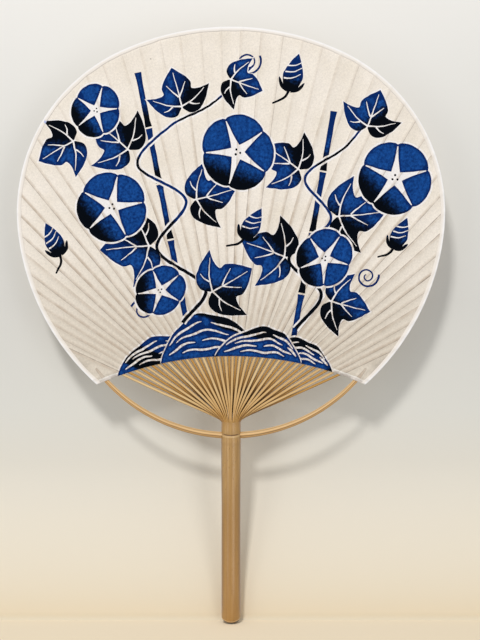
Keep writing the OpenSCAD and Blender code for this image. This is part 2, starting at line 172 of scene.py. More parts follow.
@dataclass(frozen=True)
class Layout:
    """Sizes and places that the fan's pieces share, in millimetres and radians.

    Places are in the fan's plane, to the right and up from the centre of the
    handle's butt. Directions are measured from upright, to the right.
    """

    handle_l: float = 124.5
    fan_drop: float = 2.0
    rib_pairs: int = 24
    outer_rib_gap: float = 7.67
    rib_crowding: float = 0.09
    rib_w: float = 1.6
    rib_t: float = 0.9
    rib_tip_w: float = 1.2
    rib_tip_t: float = 0.5
    rib_tip_inset: float = 1.0
    head_h: float = 245.5
    top_r: float = 164.0
    shoulder_r: float = 110.5
    flank_r: float = 150.0
    top_arc_end: float = math.radians(25)
    shoulder_arc_end: float = math.radians(97)
    edge_r: float = 204.0
    edge_rise: float = 40.8
    sheet_t: float = 0.25
    tape_w: float = 3.0
    tape_t: float = 0.15
    tape_gap: float = 0.05
    bow_drop: float = 8.5
    bow_d: float = 4.2
    bow_tip_w: float = 2.8
    bow_tip_t: float = 0.8
    bow_tip_l: float = 6.0
    thread_inset: float = 6.24
    thread_d: float = 0.3
    thread_rise: float = 3.8
    thread_gap: float = 0.03
    knot_l: float = 2.5
    knot_t: float = 0.25
    paste_gap: float = 0.03

    @property
    def rib_count(self) -> int:
        """Return the number of ribs."""
        return 2 * self.rib_pairs

    @property
    def bow_z(self) -> float:
        """Return the height of the bow's axis in the culm."""
        return self.handle_l - self.bow_drop

    @property
    def thread_r(self) -> float:
        """Return the radius of the arc that the thread follows."""
        return self.edge_r + self.thread_rise

    @property
    def sheet_inset(self) -> float:
        """Return the distance from the sheets' outline in from the rim."""
        return self.tape_t + self.tape_gap

    @property
    def thread_y(self) -> float:
        """Return the depth of the thread's middle over a rib."""
        return self.rib_t / 2 + self.thread_gap + self.thread_d / 2

    def core_half(self, share: float) -> float:
        """Return half the thickness between the sheets, a share of the way along a rib."""
        return mix(self.rib_t / 2 + self.paste_gap, self.rib_tip_t / 2 + self.paste_gap, clamp01(share))

    @cached_property
    def fan_centre(self) -> Vector:
        """Return the point that the ribs spread from."""
        return Vector((0, self.handle_l - self.fan_drop))

    @cached_property
    def edge_centre(self) -> Vector:
        """Return the centre of the sheets' lower edge and of the thread's arc."""
        return Vector((0, self.handle_l + self.edge_rise - self.edge_r))

    @cached_property
    def rim_arcs(self) -> tuple[tuple[Vector, float, float], ...]:
        """Return the centre, radius and last direction of each arc down the rim's right half."""
        top = Vector((0, self.handle_l + self.head_h - self.top_r))
        shoulder = top + (self.top_r - self.shoulder_r) * toward(self.top_arc_end)
        flank = shoulder + (self.shoulder_r - self.flank_r) * toward(self.shoulder_arc_end)
        return ((top, self.top_r, self.top_arc_end), (shoulder, self.shoulder_r, self.shoulder_arc_end),
                (flank, self.flank_r, math.pi))

    @property
    def flank_centre(self) -> Vector:
        """Return the centre of the rim's arc down the right flank."""
        return self.rim_arcs[-1][0]

    def _on_thread_from_rim(self, inset: float) -> Vector:
        """Return the point of the thread's arc that lies an inset in from the rim."""
        return meet(self.flank_centre, self.flank_r - inset, self.edge_centre, self.thread_r)

    @cached_property
    def thread_on_bow(self) -> Vector:
        """Return where the thread meets the bow on the right."""
        return self._on_thread_from_rim(self.thread_inset)

    @cached_property
    def fan_angle(self) -> float:
        """Return the direction of the outermost rib on the right."""
        outer = self._on_thread_from_rim(self.thread_inset + self.outer_rib_gap)
        return direction_of(outer - self.fan_centre)

    @cached_property
    def bow_r(self) -> float:
        """Return the radius of the bow's arc."""
        chord = self.thread_on_bow - Vector((0, self.bow_z))
        return chord.dot(chord) / (2 * chord.y)

    @cached_property
    def bow_centre(self) -> Vector:
        """Return the centre of the bow's arc."""
        return Vector((0, self.bow_z + self.bow_r))

    def bow_direction(self, place: Vector) -> float:
        """Return a place's angle about the bow's centre, from straight down."""
        return math.atan2(place.x, self.bow_centre.y - place.y)

    def off_bow_axis(self, place: Vector) -> float:
        """Return the distance from a place to the bow's axis, seen from the front."""
        return abs((place - self.bow_centre).length - self.bow_r)

    @cached_property
    def knot_direction(self) -> float:
        """Return the right knot's angle about the bow's centre."""
        return self.bow_direction(self.thread_on_bow)

    @cached_property
    def bow_end_direction(self) -> float:
        """Return the angle of the bow's right tip about its centre."""
        return self.knot_direction + self.bow_tip_l / self.bow_r

    @cached_property
    def bow_taper_end(self) -> float:
        """Return the angle about the bow's centre where it is down to its tip's size."""
        return self.bow_direction(
            meet(self.bow_centre, self.bow_r, self.edge_centre, self.edge_r - self.bow_tip_w))

    @cached_property
    def rib_directions(self) -> list[float]:
        """Return the directions of all ribs, from left to right."""
        last = self.rib_count - 1
        spread = [(2 * i - last) / last for i in range(self.rib_count)]
        return [self.fan_angle * u * (1 + self.rib_crowding * (1 - u * u)) for u in spread]

    @cached_property
    def gap_directions(self) -> list[float]:
        """Return the directions of the hollows between neighbouring ribs."""
        return [(left + right) / 2 for left, right in zip(self.rib_directions, self.rib_directions[1:])]

    def rib_side(self, i: int) -> int:
        """Return -1 for a rib from the front half of the culm, 1 for one from its back half."""
        return -1 if i % 2 == 0 else 1

    def rim_crossing(self, angle: float, inset: float) -> Vector:
        """Return where a ray from the fan's centre crosses the rim, drawn inwards by inset."""
        side, turn = (-1 if angle < 0 else 1), abs(angle)
        for centre, radius, end in self.rim_arcs:
            place = self.fan_centre + reach(self.fan_centre, turn, centre, radius - inset) * toward(turn)
            if direction_of(place - centre) <= end:
                break
        return Vector((side * place.x, place.y))

    def edge_crossing(self, angle: float, rise: float) -> Vector:
        """Return where a ray from the fan's centre crosses the lower edge, raised by rise."""
        far = reach(self.fan_centre, angle, self.edge_centre, self.edge_r + rise)
        return self.fan_centre + far * toward(angle)

    def corner_direction(self, inset: float) -> float:
        """Return the direction of a lower corner from the centre of the flank's arc."""
        corner = meet(self.flank_centre, self.flank_r - inset, self.edge_centre, self.edge_r)
        return direction_of(corner - self.flank_centre)

    def rim_point(self, angle: float, inset: float) -> Vector:
        """Return the rim's point at a direction of its own arcs, drawn inwards by inset."""
        side, turn = (-1 if angle < 0 else 1), abs(angle)
        centre, radius, _ = next(arc for arc in self.rim_arcs if turn < arc[2])
        place = centre + (radius - inset) * toward(turn)
        return Vector((side * place.x, place.y))

    def rim_length_at(self, angle: float) -> float:
        """Return the length of rim from the top to a direction of its own arcs."""
        length = start = 0.0
        for _, radius, end in self.rim_arcs:
            length += max(min(abs(angle), end) - start, 0) * radius
            start = end
        return math.copysign(length, angle)


def paint(code: str) -> tuple[float, float, float, float]:
    """Turn an sRGB hex code, after a #, into a linear colour with full alpha."""
    parts = [int(code.lstrip("#")[i:i + 2], 16) / 255 for i in (0, 2, 4)]
    red, green, blue = (p / 12.92 if p <= 0.04045 else ((p + 0.055) / 1.055) ** 2.4 for p in parts)
    return (red, green, blue, 1.0)


class Graph:
    """The node tree of one material."""

    def __init__(self, name: str) -> None:
        """Make a material of that name with an empty node tree."""
        self.material = bpy.data.materials.new(name)
        self.material.use_nodes = True
        self.tree = self.material.node_tree
        self.tree.nodes.clear()

    def add(self, kind: str, settings: Mapping[str, Any] | None = None,
            inputs: Mapping[Any, Any] | None = None, stops: Sequence[tuple[float, str]] = ()) -> Any:
        """Add a node with its settings and links.

        Args:
            kind: The node's type.
            settings: Properties to set on the node.
            inputs: A value or a socket to link, for each input's name or number.
            stops: Places and hex codes of a colour ramp.

        Returns:
            The new node.
        """
        node = self.tree.nodes.new(kind)
        for name, value in (settings or {}).items():
            setattr(node, name, value)
        for key, value in (inputs or {}).items():
            if isinstance(value, bpy.types.NodeSocket):
                self.tree.links.new(value, node.inputs[key])
            else:
                node.inputs[key].default_value = value
        for number, (place, code) in enumerate(stops):
            marks = node.color_ramp.elements
            mark = marks[number] if number < 2 else marks.new(place)
            mark.position, mark.color = place, paint(code)
        return node

    def calc(self, operation: str, *values: Any) -> Any:
        """Return the result of a sum, as a socket."""
        return self.add("ShaderNodeMath", {"operation": operation}, dict(enumerate(values))).outputs[0]

    def vector(self, operation: str, *values: Any) -> Any:
        """Return a node that works with vectors."""
        return self.add("ShaderNodeVectorMath", {"operation": operation}, dict(enumerate(values)))

    def times(self, first: Any, *others: Any) -> Any:
        """Return the product of some levels, as a socket."""
        for other in others:
            first = self.calc("MULTIPLY", first, other)
        return first

    def off(self, value: Any, middle: float) -> Any:
        """Return how far a value is from a middle, as a socket."""
        return self.calc("ABSOLUTE", self.calc("SUBTRACT", value, middle))

    def step(self, value: Any, start: float, end: float, low: Any = 0.0, high: Any = 1.0,
             shape: str = "SMOOTHSTEP") -> Any:
        """Return a step from a low to a high level where a value goes from start to end, as a socket."""
        return self.add("ShaderNodeMapRange", {"interpolation_type": shape}, {
            "Value": value, "From Min": start, "From Max": end, "To Min": low,
            "To Max": high}).outputs["Result"]

    def blend(self, share: Any, first: Any, second: Any, blend_type: str = "MIX") -> Any:
        """Return a mix of two colours, each a hex code or a socket, as a socket."""
        first, second = (paint(value) if isinstance(value, str) else value for value in (first, second))
        return self.add("ShaderNodeMix", {"data_type": "RGBA", "blend_type": blend_type}, {
            MIX_FACTOR: share, MIX_A: first, MIX_B: second}).outputs[MIX_RESULT]

    def ramp(self, level: Any, *stops: tuple[float, str]) -> Any:
        """Return the colour of a ramp, as a socket."""
        return self.add("ShaderNodeValToRGB", inputs={"Fac": level}, stops=stops).outputs["Color"]

    def noise(self, vector: Any, scale: float, detail: float = 2.0, roughness: float = 0.5,
              distortion: float = 0.0) -> Any:
        """Return the level of a noise, as a socket."""
        return self.add("ShaderNodeTexNoise", inputs={
            "Vector": vector, "Scale": scale, "Detail": detail, "Roughness": roughness,
            "Distortion": distortion}).outputs["Fac"]

    def mark(self, name: str) -> Any:
        """Return an attribute of the mesh, as a socket."""
        return self.add("ShaderNodeAttribute", {"attribute_name": name}).outputs["Fac"]

    def scaled(self, vector: Any, *scales: float) -> Any:
        """Return a vector with its parts scaled, as a socket."""
        return self.add("ShaderNodeMapping", inputs={"Vector": vector, "Scale": scales}).outputs["Vector"]

    def parts(self, vector: Any) -> Any:
        """Return the three parts of a vector, as sockets."""
        return self.add("ShaderNodeSeparateXYZ", inputs={"Vector": vector}).outputs

    def object_mm(self) -> Any:
        """Return the place on the piece, in millimetres, as a socket."""
        return self.scaled(self.add("ShaderNodeTexCoord").outputs["Object"], 1 / MM, 1 / MM, 1 / MM)

    def fibres_mm(self) -> Any:
        """Return the place across and along the fibres, in millimetres, as a socket."""
        return self.add("ShaderNodeUVMap", {"uv_map": "fibres"}).outputs["UV"]

    def surface(self, shader: Any) -> bpy.types.Material:
        """Link a shader's socket to the output and return the finished material."""
        self.add("ShaderNodeOutputMaterial", inputs={"Surface": shader})
        return self.material

    def finish(self, colour: Any, bumps: Any, strength: float, depth_mm: float, roughness: float,
               specular: float = 0.5, more: Mapping[str, float] | None = None) -> bpy.types.Material:
        """Finish the material.

        Args:
            colour: Its colour's socket.
            bumps: The socket that its bumps follow.
            strength: The bumps' strength.
            depth_mm: The bumps' depth.
            roughness: The shader's roughness.
            specular: Its specular level.
            more: Other levels, by the shader's own names.

        Returns:
            The material.
        """
        bump = self.add("ShaderNodeBump", inputs={
            "Height": bumps, "Strength": strength, "Distance": depth_mm * MM})
        shader = self.add("ShaderNodeBsdfPrincipled", inputs={
            "Base Color": colour, "Normal": bump.outputs["Normal"], "Roughness": roughness,
            "Specular IOR Level": specular, **(more or {})})
        return self.surface(shader.outputs["BSDF"])


@dataclass(frozen=True)
class SplitBamboo:
    """Split moso bamboo: satin skin outside, browner inside, with straight fibres.

    Near the culm a rib still has the culm's golden skin. Further out it is scraped
    thinner and paler. Painted shade darkens the inner wall between the ribs and the ribs' edges.
    """

    culm_skin: str = "#BC8F4E"
    scraped: str = "#DFC08C"
    # Distances from the culm. The inner wall is painted darkest as shade where the ribs of the two halves
    # part.
    scraped_mm: tuple[float, float] = (1.0, 34.0)
    inner: Stops = ((3.0, "#A2743A"), (16.0, "#6A420F"), (44.0, "#C09350"))
    warm: str = "#C08A3C"
    # The flank colour is painted shade on the ribs' edges, most on each lower edge.
    flank: str = "#482A06"
    # Vascular fibres lie about 0.3 mm apart and are far longer than wide.
    fibre_mm: float = 0.3
    fibre_l_mm: float = 14.0
    # Each rib's tone moves the pattern, so that no two ribs look alike.
    moves_by: Triple = (37.0, 91.0, 53.0)
    roughness: float = 0.42

    def build(self) -> bpy.types.Material:
        """Return the material."""
        graph = Graph("split_bamboo")
        fibres_mm, tone = graph.fibres_mm(), graph.mark("tone")
        along = graph.parts(fibres_mm)["Y"]
        thinned = graph.step(along, *self.scraped_mm)
        skin = graph.blend(thinned, self.culm_skin, self.scraped)
        far = self.inner[-1][0]
        # The inner wall's ramp carries painted shade between the ribs.
        inner = graph.ramp(graph.times(along, 1 / far), *((place / far, code) for place, code in self.inner))
        wall = graph.blend(graph.mark("inside"), skin, inner)
        # Painted shade on the ribs' edges, out beyond the culm.
        wall = graph.blend(graph.times(graph.mark("flank"), thinned), wall, self.flank)
        stretched = graph.scaled(fibres_mm, 1 / self.fibre_mm, 1 / self.fibre_l_mm, 1)
        moved = graph.vector("MULTIPLY_ADD", tone, self.moves_by, stretched).outputs["Vector"]
        fibres = graph.noise(moved, 1.0, 3.0, 0.6)
        streak = graph.calc("MULTIPLY_ADD", graph.step(fibres, 0.45, 0.75, shape=LINEAR), 0.35,
                            graph.times(tone, 0.45))
        colour = graph.blend(graph.times(streak, thinned), wall, self.warm)
        return graph.finish(colour, fibres, 0.3, 0.06, self.roughness, 0.4)


@dataclass(frozen=True)
class BentBamboo:
    """A planed bamboo strip, bent over heat: pale, with a dark line over a browner lower band."""

    pale: str = "#DDB67E"
    band: str = "#D4A86C"
    line: str = "#74481F"
    streak: str = "#C09258"
    fibre_mm: float = 0.35
    fibre_l_mm: float = 18.0
    # Each line's share of the way round the strip, from its lower edge over the back, and its level.
    lines: Points = ((0.785, 0.7), (0.9, 0.4), (0.635, 0.45))
    line_half: float = 0.028
    roughness: float = 0.5

    def build(self) -> bpy.types.Material:
        """Return the material."""
        graph = Graph("bent_bamboo")
        fibres = graph.noise(graph.scaled(graph.fibres_mm(), 1 / self.fibre_mm, 1 / self.fibre_l_mm, 1),
                             1.0, 4.0, 0.6)
        drift = graph.calc("MULTIPLY_ADD", graph.calc("SUBTRACT", fibres, 0.5), 0.06, graph.mark("around"))
        band_at = self.lines[0][0]
        colour = graph.blend(graph.step(drift, band_at - 0.01, band_at + 0.01), self.pale, self.band)
        colour = graph.blend(graph.step(fibres, 0.48, 0.8, shape=LINEAR), colour, self.streak)
        for place, level in self.lines:
            sharp, soft = 0.4 * self.line_half, 1.6 * self.line_half
            on_line = graph.step(graph.off(drift, place), sharp, soft, level, 0.0)
            colour = graph.blend(on_line, colour, self.line)
        return graph.finish(colour, fibres, 0.3, 0.06, self.roughness, 0.4)


@dataclass(frozen=True)
class CulmSkin:
    """The waxy skin of a seasoned bamboo culm: golden brown, satin, with long streaks and flecks.

    The sheath scar is a line of painted shade in its groove over a lip painted pale as light,
    and the cut butt is stained dark inside a pale bevel of paler flesh and painted light.
    """

    gold: str = "#B2884B"
    brown: str = "#A1783E"
    pale: str = "#C7A067"
    aged: str = "#9C6F30"
    fleck: str = "#7A5528"
    scar_groove_shade: str = "#6E4A22"
    lip_painted_light: str = "#D2AE78"
    butt: str = "#2E1B0E"
    inner: str = "#A88552"
    root: str = "#B98C4B"
    slit: str = "#7A5526"
    culm_r: float = 6.05
    bore_r: float = 4.35
    split_z: float = 124.5
    split_pairs: int = 24
    crack_l: float = 4.5
    # The scar and the stain hang lower in front: they rise by this much at the culm's sides.
    # The stain's rise paints shade along the butt's rounded edge.
    scar_z: float = 116.5
    scar_rise: float = 0.7
    butt_z: float = 0.75
    butt_shade_rise: float = 1.5
    bevel_z: float = 1.5
    streak_mm: float = 1.5
    streak_l_mm: float = 60.0
    # Scales per millimetre of the clouds and the flecks, both longer than wide.
    cloud_scales: Triple = (0.25, 0.25, 0.07)
    fleck_scales: Triple = (0.9, 0.9, 0.45)
    roughness: float = 0.3

    def cracks(self, graph: Graph, x: Any, y: Any, z: Any) -> Any:
        """Return how far a place lies in a crack that runs on down from a slit, as a socket."""
        count = graph.times(graph.calc("ARCTAN2", x, y), self.split_pairs / math.pi)
        in_crack = graph.step(graph.calc("PINGPONG", count, 0.5), 0.05, 0.22, 0.8, 0.0)
        return graph.times(in_crack, graph.step(z, self.split_z - self.crack_l, self.split_z))

    def build(self) -> bpy.types.Material:
        """Return the material."""
        graph = Graph("culm_skin")
        in_mm = graph.object_mm()
        x, y, z = graph.parts(in_mm)
        streak_scales = (1 / self.streak_mm, 1 / self.streak_mm, 1 / self.streak_l_mm)
        streaks = graph.noise(graph.scaled(in_mm, *streak_scales), 1.0, 4.0, 0.55)
        colour = graph.ramp(streaks, (0.3, self.brown), (0.5, self.gold), (0.72, self.pale))
        clouds = graph.noise(graph.scaled(in_mm, *self.cloud_scales), 1.0)
        colour = graph.blend(graph.step(clouds, 0.4, 0.7, 0.0, 0.55, LINEAR), colour, self.brown)
        spots = graph.noise(graph.scaled(in_mm, *self.fleck_scales), 1.0)
        colour = graph.blend(graph.step(spots, 0.64, 0.74, 0.0, 0.55), colour, self.fleck)
        across = graph.times(x, 1 / self.culm_r)
        rise = graph.times(across, across)
        scar_height = graph.calc("MULTIPLY_ADD", rise, -self.scar_rise, z)
        butt_height = graph.calc("MULTIPLY_ADD", rise, -self.butt_shade_rise, z)
        in_front = graph.step(rise, 0.3, 0.7, 1.0, 0.15)
        # Bands round the culm: the height they follow, colour, middle, half width, soft edge and level.
        for height, code, middle, half, soft, level in (
                (z, self.aged, 20.0, 40.0, 40.0, 0.6),
                (z, self.root, self.split_z, 0.5, 6.5, 0.8),
                # Painted light on the lip, then painted shade in the scar's groove, fading towards the sides.
                (scar_height, self.lip_painted_light, self.scar_z - 0.95, 0.3, 0.5, 0.75),
                (scar_height, self.scar_groove_shade, self.scar_z + 0.05, 0.2, 0.28, in_front),
                (z, self.brown, self.scar_z - 5.6, 0.0, 1.4, 0.35),
                # A pale band of paler flesh and painted light on the bevel, then the butt's real stain.
                (butt_height, self.lip_painted_light, self.bevel_z, 0.12, 0.35, 0.75),
                (butt_height, self.butt, -2.0, self.butt_z + 2.0, 0.25, 1.0)):
            band = graph.step(graph.off(height, middle), half, half + soft, level, 0.0)
            colour = graph.blend(band, colour, code)
        colour = graph.blend(self.cracks(graph, x, y, z), colour, self.slit)
        flat = graph.add("ShaderNodeCombineXYZ", inputs={"X": x, "Y": y}).outputs["Vector"]
        in_bore = graph.calc("LESS_THAN", graph.vector("LENGTH", flat).outputs["Value"], self.bore_r + 0.02)
        colour = graph.blend(in_bore, colour, self.inner)
        return graph.finish(colour, streaks, 0.3, 0.05, self.roughness, more={
            "Coat Weight": 0.6, "Coat Roughness": 0.38})


@dataclass(frozen=True)
class StainedEndWood:
    """A turned wooden plug, stained dark: growth rings show faintly through the stain."""

    dark: str = "#2A180C"
    light: str = "#4A2C16"
    ring_mm: float = 0.8
    roughness: float = 0.5

    def build(self) -> bpy.types.Material:
        """Return the material."""
        graph = Graph("stained_end_wood")
        rings = graph.add("ShaderNodeTexWave", {"wave_type": "RINGS", "rings_direction": "Z"}, {
            "Vector": graph.object_mm(), "Scale": math.pi / 10 / self.ring_mm, "Distortion": 1.5,
            "Detail": 2.0}).outputs["Fac"]
        colour = graph.ramp(rings, (0.2, self.dark), (0.9, self.light))
        return graph.finish(colour, rings, 0.3, 0.05, self.roughness)


@dataclass(frozen=True)
class TwistedCotton:
    """Two-ply cotton thread: matt cream with fine fibres that follow the twist."""

    light: str = "#EFE4CC"
    dark: str = "#C8B48C"
    fibre_mm: float = 0.06
    roughness: float = 0.85

    def build(self) -> bpy.types.Material:
        """Return the material."""
        graph = Graph("twisted_cotton")
        fibres = graph.noise(graph.scaled(graph.fibres_mm(), 1 / self.fibre_mm, 1.2, 1), 1.0, 3.0)
        colour = graph.ramp(fibres, (0.3, self.dark), (0.6, self.light))
        return graph.finish(colour, fibres, 0.4, 0.02, self.roughness, more={"Sheen Weight": 0.2})


@dataclass(frozen=True)
class MulberryPaper:
    """Thin white mulberry paper, pasted down: the cloth and its dye show through, the fold is whiter."""

    on_cloth: str = "#E9DFD3"
    fold: str = "#F3EFEC"
    on_dye: str = "#AAB4DC"
    fibre: str = "#F4F0EA"
    fibre_mm: float = 0.5
    roughness: float = 0.8

    def build(self) -> bpy.types.Material:
        """Return the material."""
        graph = Graph("mulberry_paper")
        fibres = graph.noise(graph.object_mm(), 1 / self.fibre_mm, 4.0, 0.7, 1.5)
        paper = graph.blend(graph.mark("folded"), self.on_cloth, self.fold)
        tinted = graph.blend(graph.mark("dye_under"), paper, self.on_dye)
        colour = graph.blend(graph.step(fibres, 0.5, 0.75, 0.0, 0.6, LINEAR), tinted, self.fibre)
        return graph.finish(colour, fibres, 0.3, 0.08, self.roughness, 0.3)


@dataclass(frozen=True)
class DyedCotton:
    """Plain-woven cotton, pasted over the ribs and stencil-dyed in indigo and black.

    Over every rib the paste and painted shade show as a brownish band, with a thin
    line of painted shade along one side, mostly the lower one. The dye is a little uneven, darker along its
    edges, and the black fades softly into the indigo.
    """

    cream: str = "#F3E8DA"
    cream_shade: str = "#EADECD"
    cream_low: str = "#D6C9B6"
    resist: str = "#F5F0EE"
    rib_paste_and_shade_band: str = "#C7B5A1"
    rib_paste_and_shade_line: str = "#85766B"
    hem: str = "#DDD3CA"
    hem_fold: str = "#F2ECE2"
    indigo: str = "#1A519A"
    indigo_deep: str = "#062861"
    black: str = "#02060E"
    speck: str = "#4A3420"
    edge_z: float = -38.7
    edge_r: float = 204.0
    hem_w: float = 1.4
    # Heights over which the darker tint of the lower cloth fades, and over which the paste and painted
    # shade beside the ribs grow weaker towards the top, where upright ribs take less shade from the light
    # above.
    low_tint_z: tuple[float, float] = (165.0, 245.0)
    paste_and_shade_z: tuple[float, float] = (235.0, 345.0)
    # Age has left specks about 0.7 mm across near the upper left of the rim.
    speck_cell_mm: float = 7.0
    speck_r_mm: float = 0.42
    specks_at: Triple = (-72.0, 0.0, 332.0)
    specks_reach: float = 34.0
    # Real threads lie 0.4 mm apart, which is less than a pixel, so they are drawn wider.
    thread_mm: float = 1.0
    roughness: float = 0.9

    def build(self) -> bpy.types.Material:
        """Return the material."""
        graph = Graph("dyed_cotton")
        in_mm = graph.object_mm()
        cloth, dyed = self.cloth_colour(graph, in_mm), self.dye_colour(graph, in_mm)
        colour = graph.blend(graph.mark("dye"), cloth, dyed)
        weave = self.weave(graph, in_mm)
        woven = graph.blend(1.0, colour, graph.step(weave, 0.0, 1.0, 0.82, 1.08, LINEAR), "MULTIPLY")
        return graph.finish(woven, weave, 0.5, 0.12, self.roughness, 0.06)

    def weave(self, graph: Graph, in_mm: Any) -> Any:
        """Return the level of the weave: warp and weft threads that cross."""
        shake = graph.add("ShaderNodeTexNoise", inputs={"Vector": in_mm, "Scale": 0.35, "Detail": 2.0})
        moved = graph.vector("MULTIPLY_ADD", shake.outputs["Color"], (1.2, 0.0, 1.2), in_mm).outputs["Vector"]
        threads = [graph.add("ShaderNodeTexWave", {"bands_direction": axis}, {
            "Vector": moved, "Scale": math.pi / 5 / self.thread_mm, "Distortion": 0.6, "Detail": 1.0,
            "Detail Scale": 1.5}).outputs["Fac"] for axis in ("X", "Z")]
        slub = graph.noise(in_mm, 0.9, 3.0, 0.65)
        return graph.step(graph.times(graph.calc("MAXIMUM", *threads), slub), 0.15, 0.6, shape=LINEAR)

    def cloth_colour(self, graph: Graph, in_mm: Any) -> Any:
        """Return the undyed cloth's colour, with the paste and painted shade beside the ribs, as a socket."""
        ground = graph.ramp(graph.noise(in_mm, 0.05, 3.0), (0.35, self.cream), (0.75, self.cream_shade))
        height = graph.parts(in_mm)["Z"]
        colour = graph.blend(graph.step(height, *self.low_tint_z, 0.75, 0.0), ground, self.cream_low)
        band, line = self.rib_paste_and_shade_marks(graph, in_mm, height)
        hem, fold = self.hem_marks(graph, in_mm)
        for share, code in ((graph.mark("resist"), self.resist), (band, self.rib_paste_and_shade_band), (line, self.rib_paste_and_shade_line),
                            (hem, self.hem), (fold, self.hem_fold), (self.specks(graph, in_mm), self.speck)):
            colour = graph.blend(share, colour, code)
        return colour

    def rib_paste_and_shade_marks(self, graph: Graph, in_mm: Any, height: Any) -> tuple[Any, Any]:
        """Return the band of paste and painted shade over each rib and the line of painted shade along one
        side of it.
        """
        beside, lean = graph.mark("beside_rib"), graph.mark("rib_lean")
        low = graph.step(height, *self.paste_and_shade_z, 1.0, 0.35)
        patchy = graph.step(graph.noise(in_mm, 0.12, 3.0, 0.6), 0.3, 0.65, 0.45, 1.0)
        crisp = graph.step(beside, 0.0, 0.35, 1.0, 0.0)
        soft = graph.step(beside, -0.9, 0.9, 1.0, 0.0)
        # On the side that rib_lean marks, the band ends crisply and the line of painted shade lies.
        band = graph.step(lean, -0.5, 0.5, soft, crisp)
        thin = graph.step(graph.off(beside, 0.05), 0.06, 0.3, 1.0, 0.0)
        line = graph.times(thin, graph.step(lean, 0.1, 0.7))
        return (graph.times(band, graph.mark("rib_tone"), patchy, low),
                graph.times(line, graph.mark("line_tone"), patchy, low))

    def hem_marks(self, graph: Graph, in_mm: Any) -> tuple[Any, Any]:
        """Return the hem along the lower edge, where the cloth is folded, and its upper fold."""
        flat = graph.vector("MULTIPLY", in_mm, (1, 0, 1)).outputs["Vector"]
        far = graph.vector("DISTANCE", flat, (0, 0, self.edge_z)).outputs["Value"]
        above = graph.calc("MULTIPLY_ADD", graph.noise(in_mm, 0.3, 3.0), -1.4, far)
        top = self.edge_r + self.hem_w
        hem = graph.step(above, top - 0.2, top + 0.1, 0.75, 0.0)
        fold = graph.step(above, top, top + 0.3, 0.8, 0.0)
        return hem, graph.times(graph.step(above, top - 0.7, top - 0.3), fold)

    def specks(self, graph: Graph, in_mm: Any) -> Any:
        """Return the age specks, as a socket."""
        cells = graph.add("ShaderNodeTexVoronoi", inputs={"Vector": in_mm, "Scale": 1 / self.speck_cell_mm})
        chosen = graph.add("ShaderNodeSeparateColor", inputs={"Color": cells.outputs["Color"]})
        apart = graph.vector("DISTANCE", in_mm, self.specks_at).outputs["Value"]
        size = self.speck_r_mm / self.speck_cell_mm
        return graph.times(graph.step(cells.outputs["Distance"], size * 0.5, size * 1.2, 0.85, 0.0),
                           graph.step(chosen.outputs["Red"], 0.55, 0.75),
                           graph.step(apart, self.specks_reach * 0.8, self.specks_reach, 1.0, 0.0))

    def dye_colour(self, graph: Graph, in_mm: Any) -> Any:
        """Return the dyed cloth's colour, as a socket."""
        mottle = graph.noise(in_mm, 0.55, 4.0, 0.7)
        edge = graph.step(graph.mark("into_dye"), 0.2, 1.6, 0.35, 0.0)
        blue = graph.ramp(graph.calc("ADD", edge, mottle), (0.34, self.indigo), (0.68, self.indigo_deep))
        black = graph.calc("MULTIPLY_ADD", graph.calc("SUBTRACT", mottle, 0.5), 0.45, graph.mark("black"))
        return graph.blend(graph.step(black, 0.35, 0.85), blue, self.black)


def new_mesh(mesh: bmesh.types.BMesh, name: str) -> bpy.types.Mesh:
    """Turn a mesh under construction into mesh data, and free it."""
    data = bpy.data.meshes.new(name)
    mesh.to_mesh(data)
    mesh.free()
    return data


def new_object(data: Any, name: str) -> bpy.types.Object:
    """Put an object with that data in the scene."""
    thing = bpy.data.objects.new(name, data)
    bpy.context.collection.objects.link(thing)
    return thing


def new_piece(mesh: bmesh.types.BMesh, name: str, finish: bpy.types.Material,
              replaced: str) -> bpy.types.Object:
    """Make a scene object of a finished mesh.

    Args:
        mesh: The mesh, in millimetres. It is freed.
        name: The piece's name.
        finish: The piece's material.
        replaced: The node that the piece stands for.

    Returns:
        The object, riding on the fan.
    """
    bmesh.ops.scale(mesh, vec=(MM, MM, MM), verts=mesh.verts)
    data = new_mesh(mesh, name)
    data.shade_smooth()
    data.set_sharp_from_angle(angle=SMOOTH_ANGLE)
    data.materials.append(finish)
    piece = new_object(data, name)
    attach(piece, BODY)
    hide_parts(replaced)
    LOG.info("%s: %d faces", name, len(data.polygons))
    return piece


def thicken(piece: bpy.types.Object, thickness: float) -> None:
    """Give a sheet or tape its thickness, in millimetres, inwards from its outside."""
    wall = piece.modifiers.new("thickness", "SOLIDIFY")
    wall.thickness, wall.offset = thickness * MM, -1


def face_outward(mesh: bmesh.types.BMesh, outward: Callable[[Any], float]) -> None:
    """Turn a mesh's faces to the side that a measure of each face says."""
    bmesh.ops.recalc_face_normals(mesh, faces=mesh.faces)
    if sum(outward(face) for face in mesh.faces) < 0:
        bmesh.ops.reverse_faces(mesh, faces=mesh.faces)


Mark = Callable[[int, int], float]


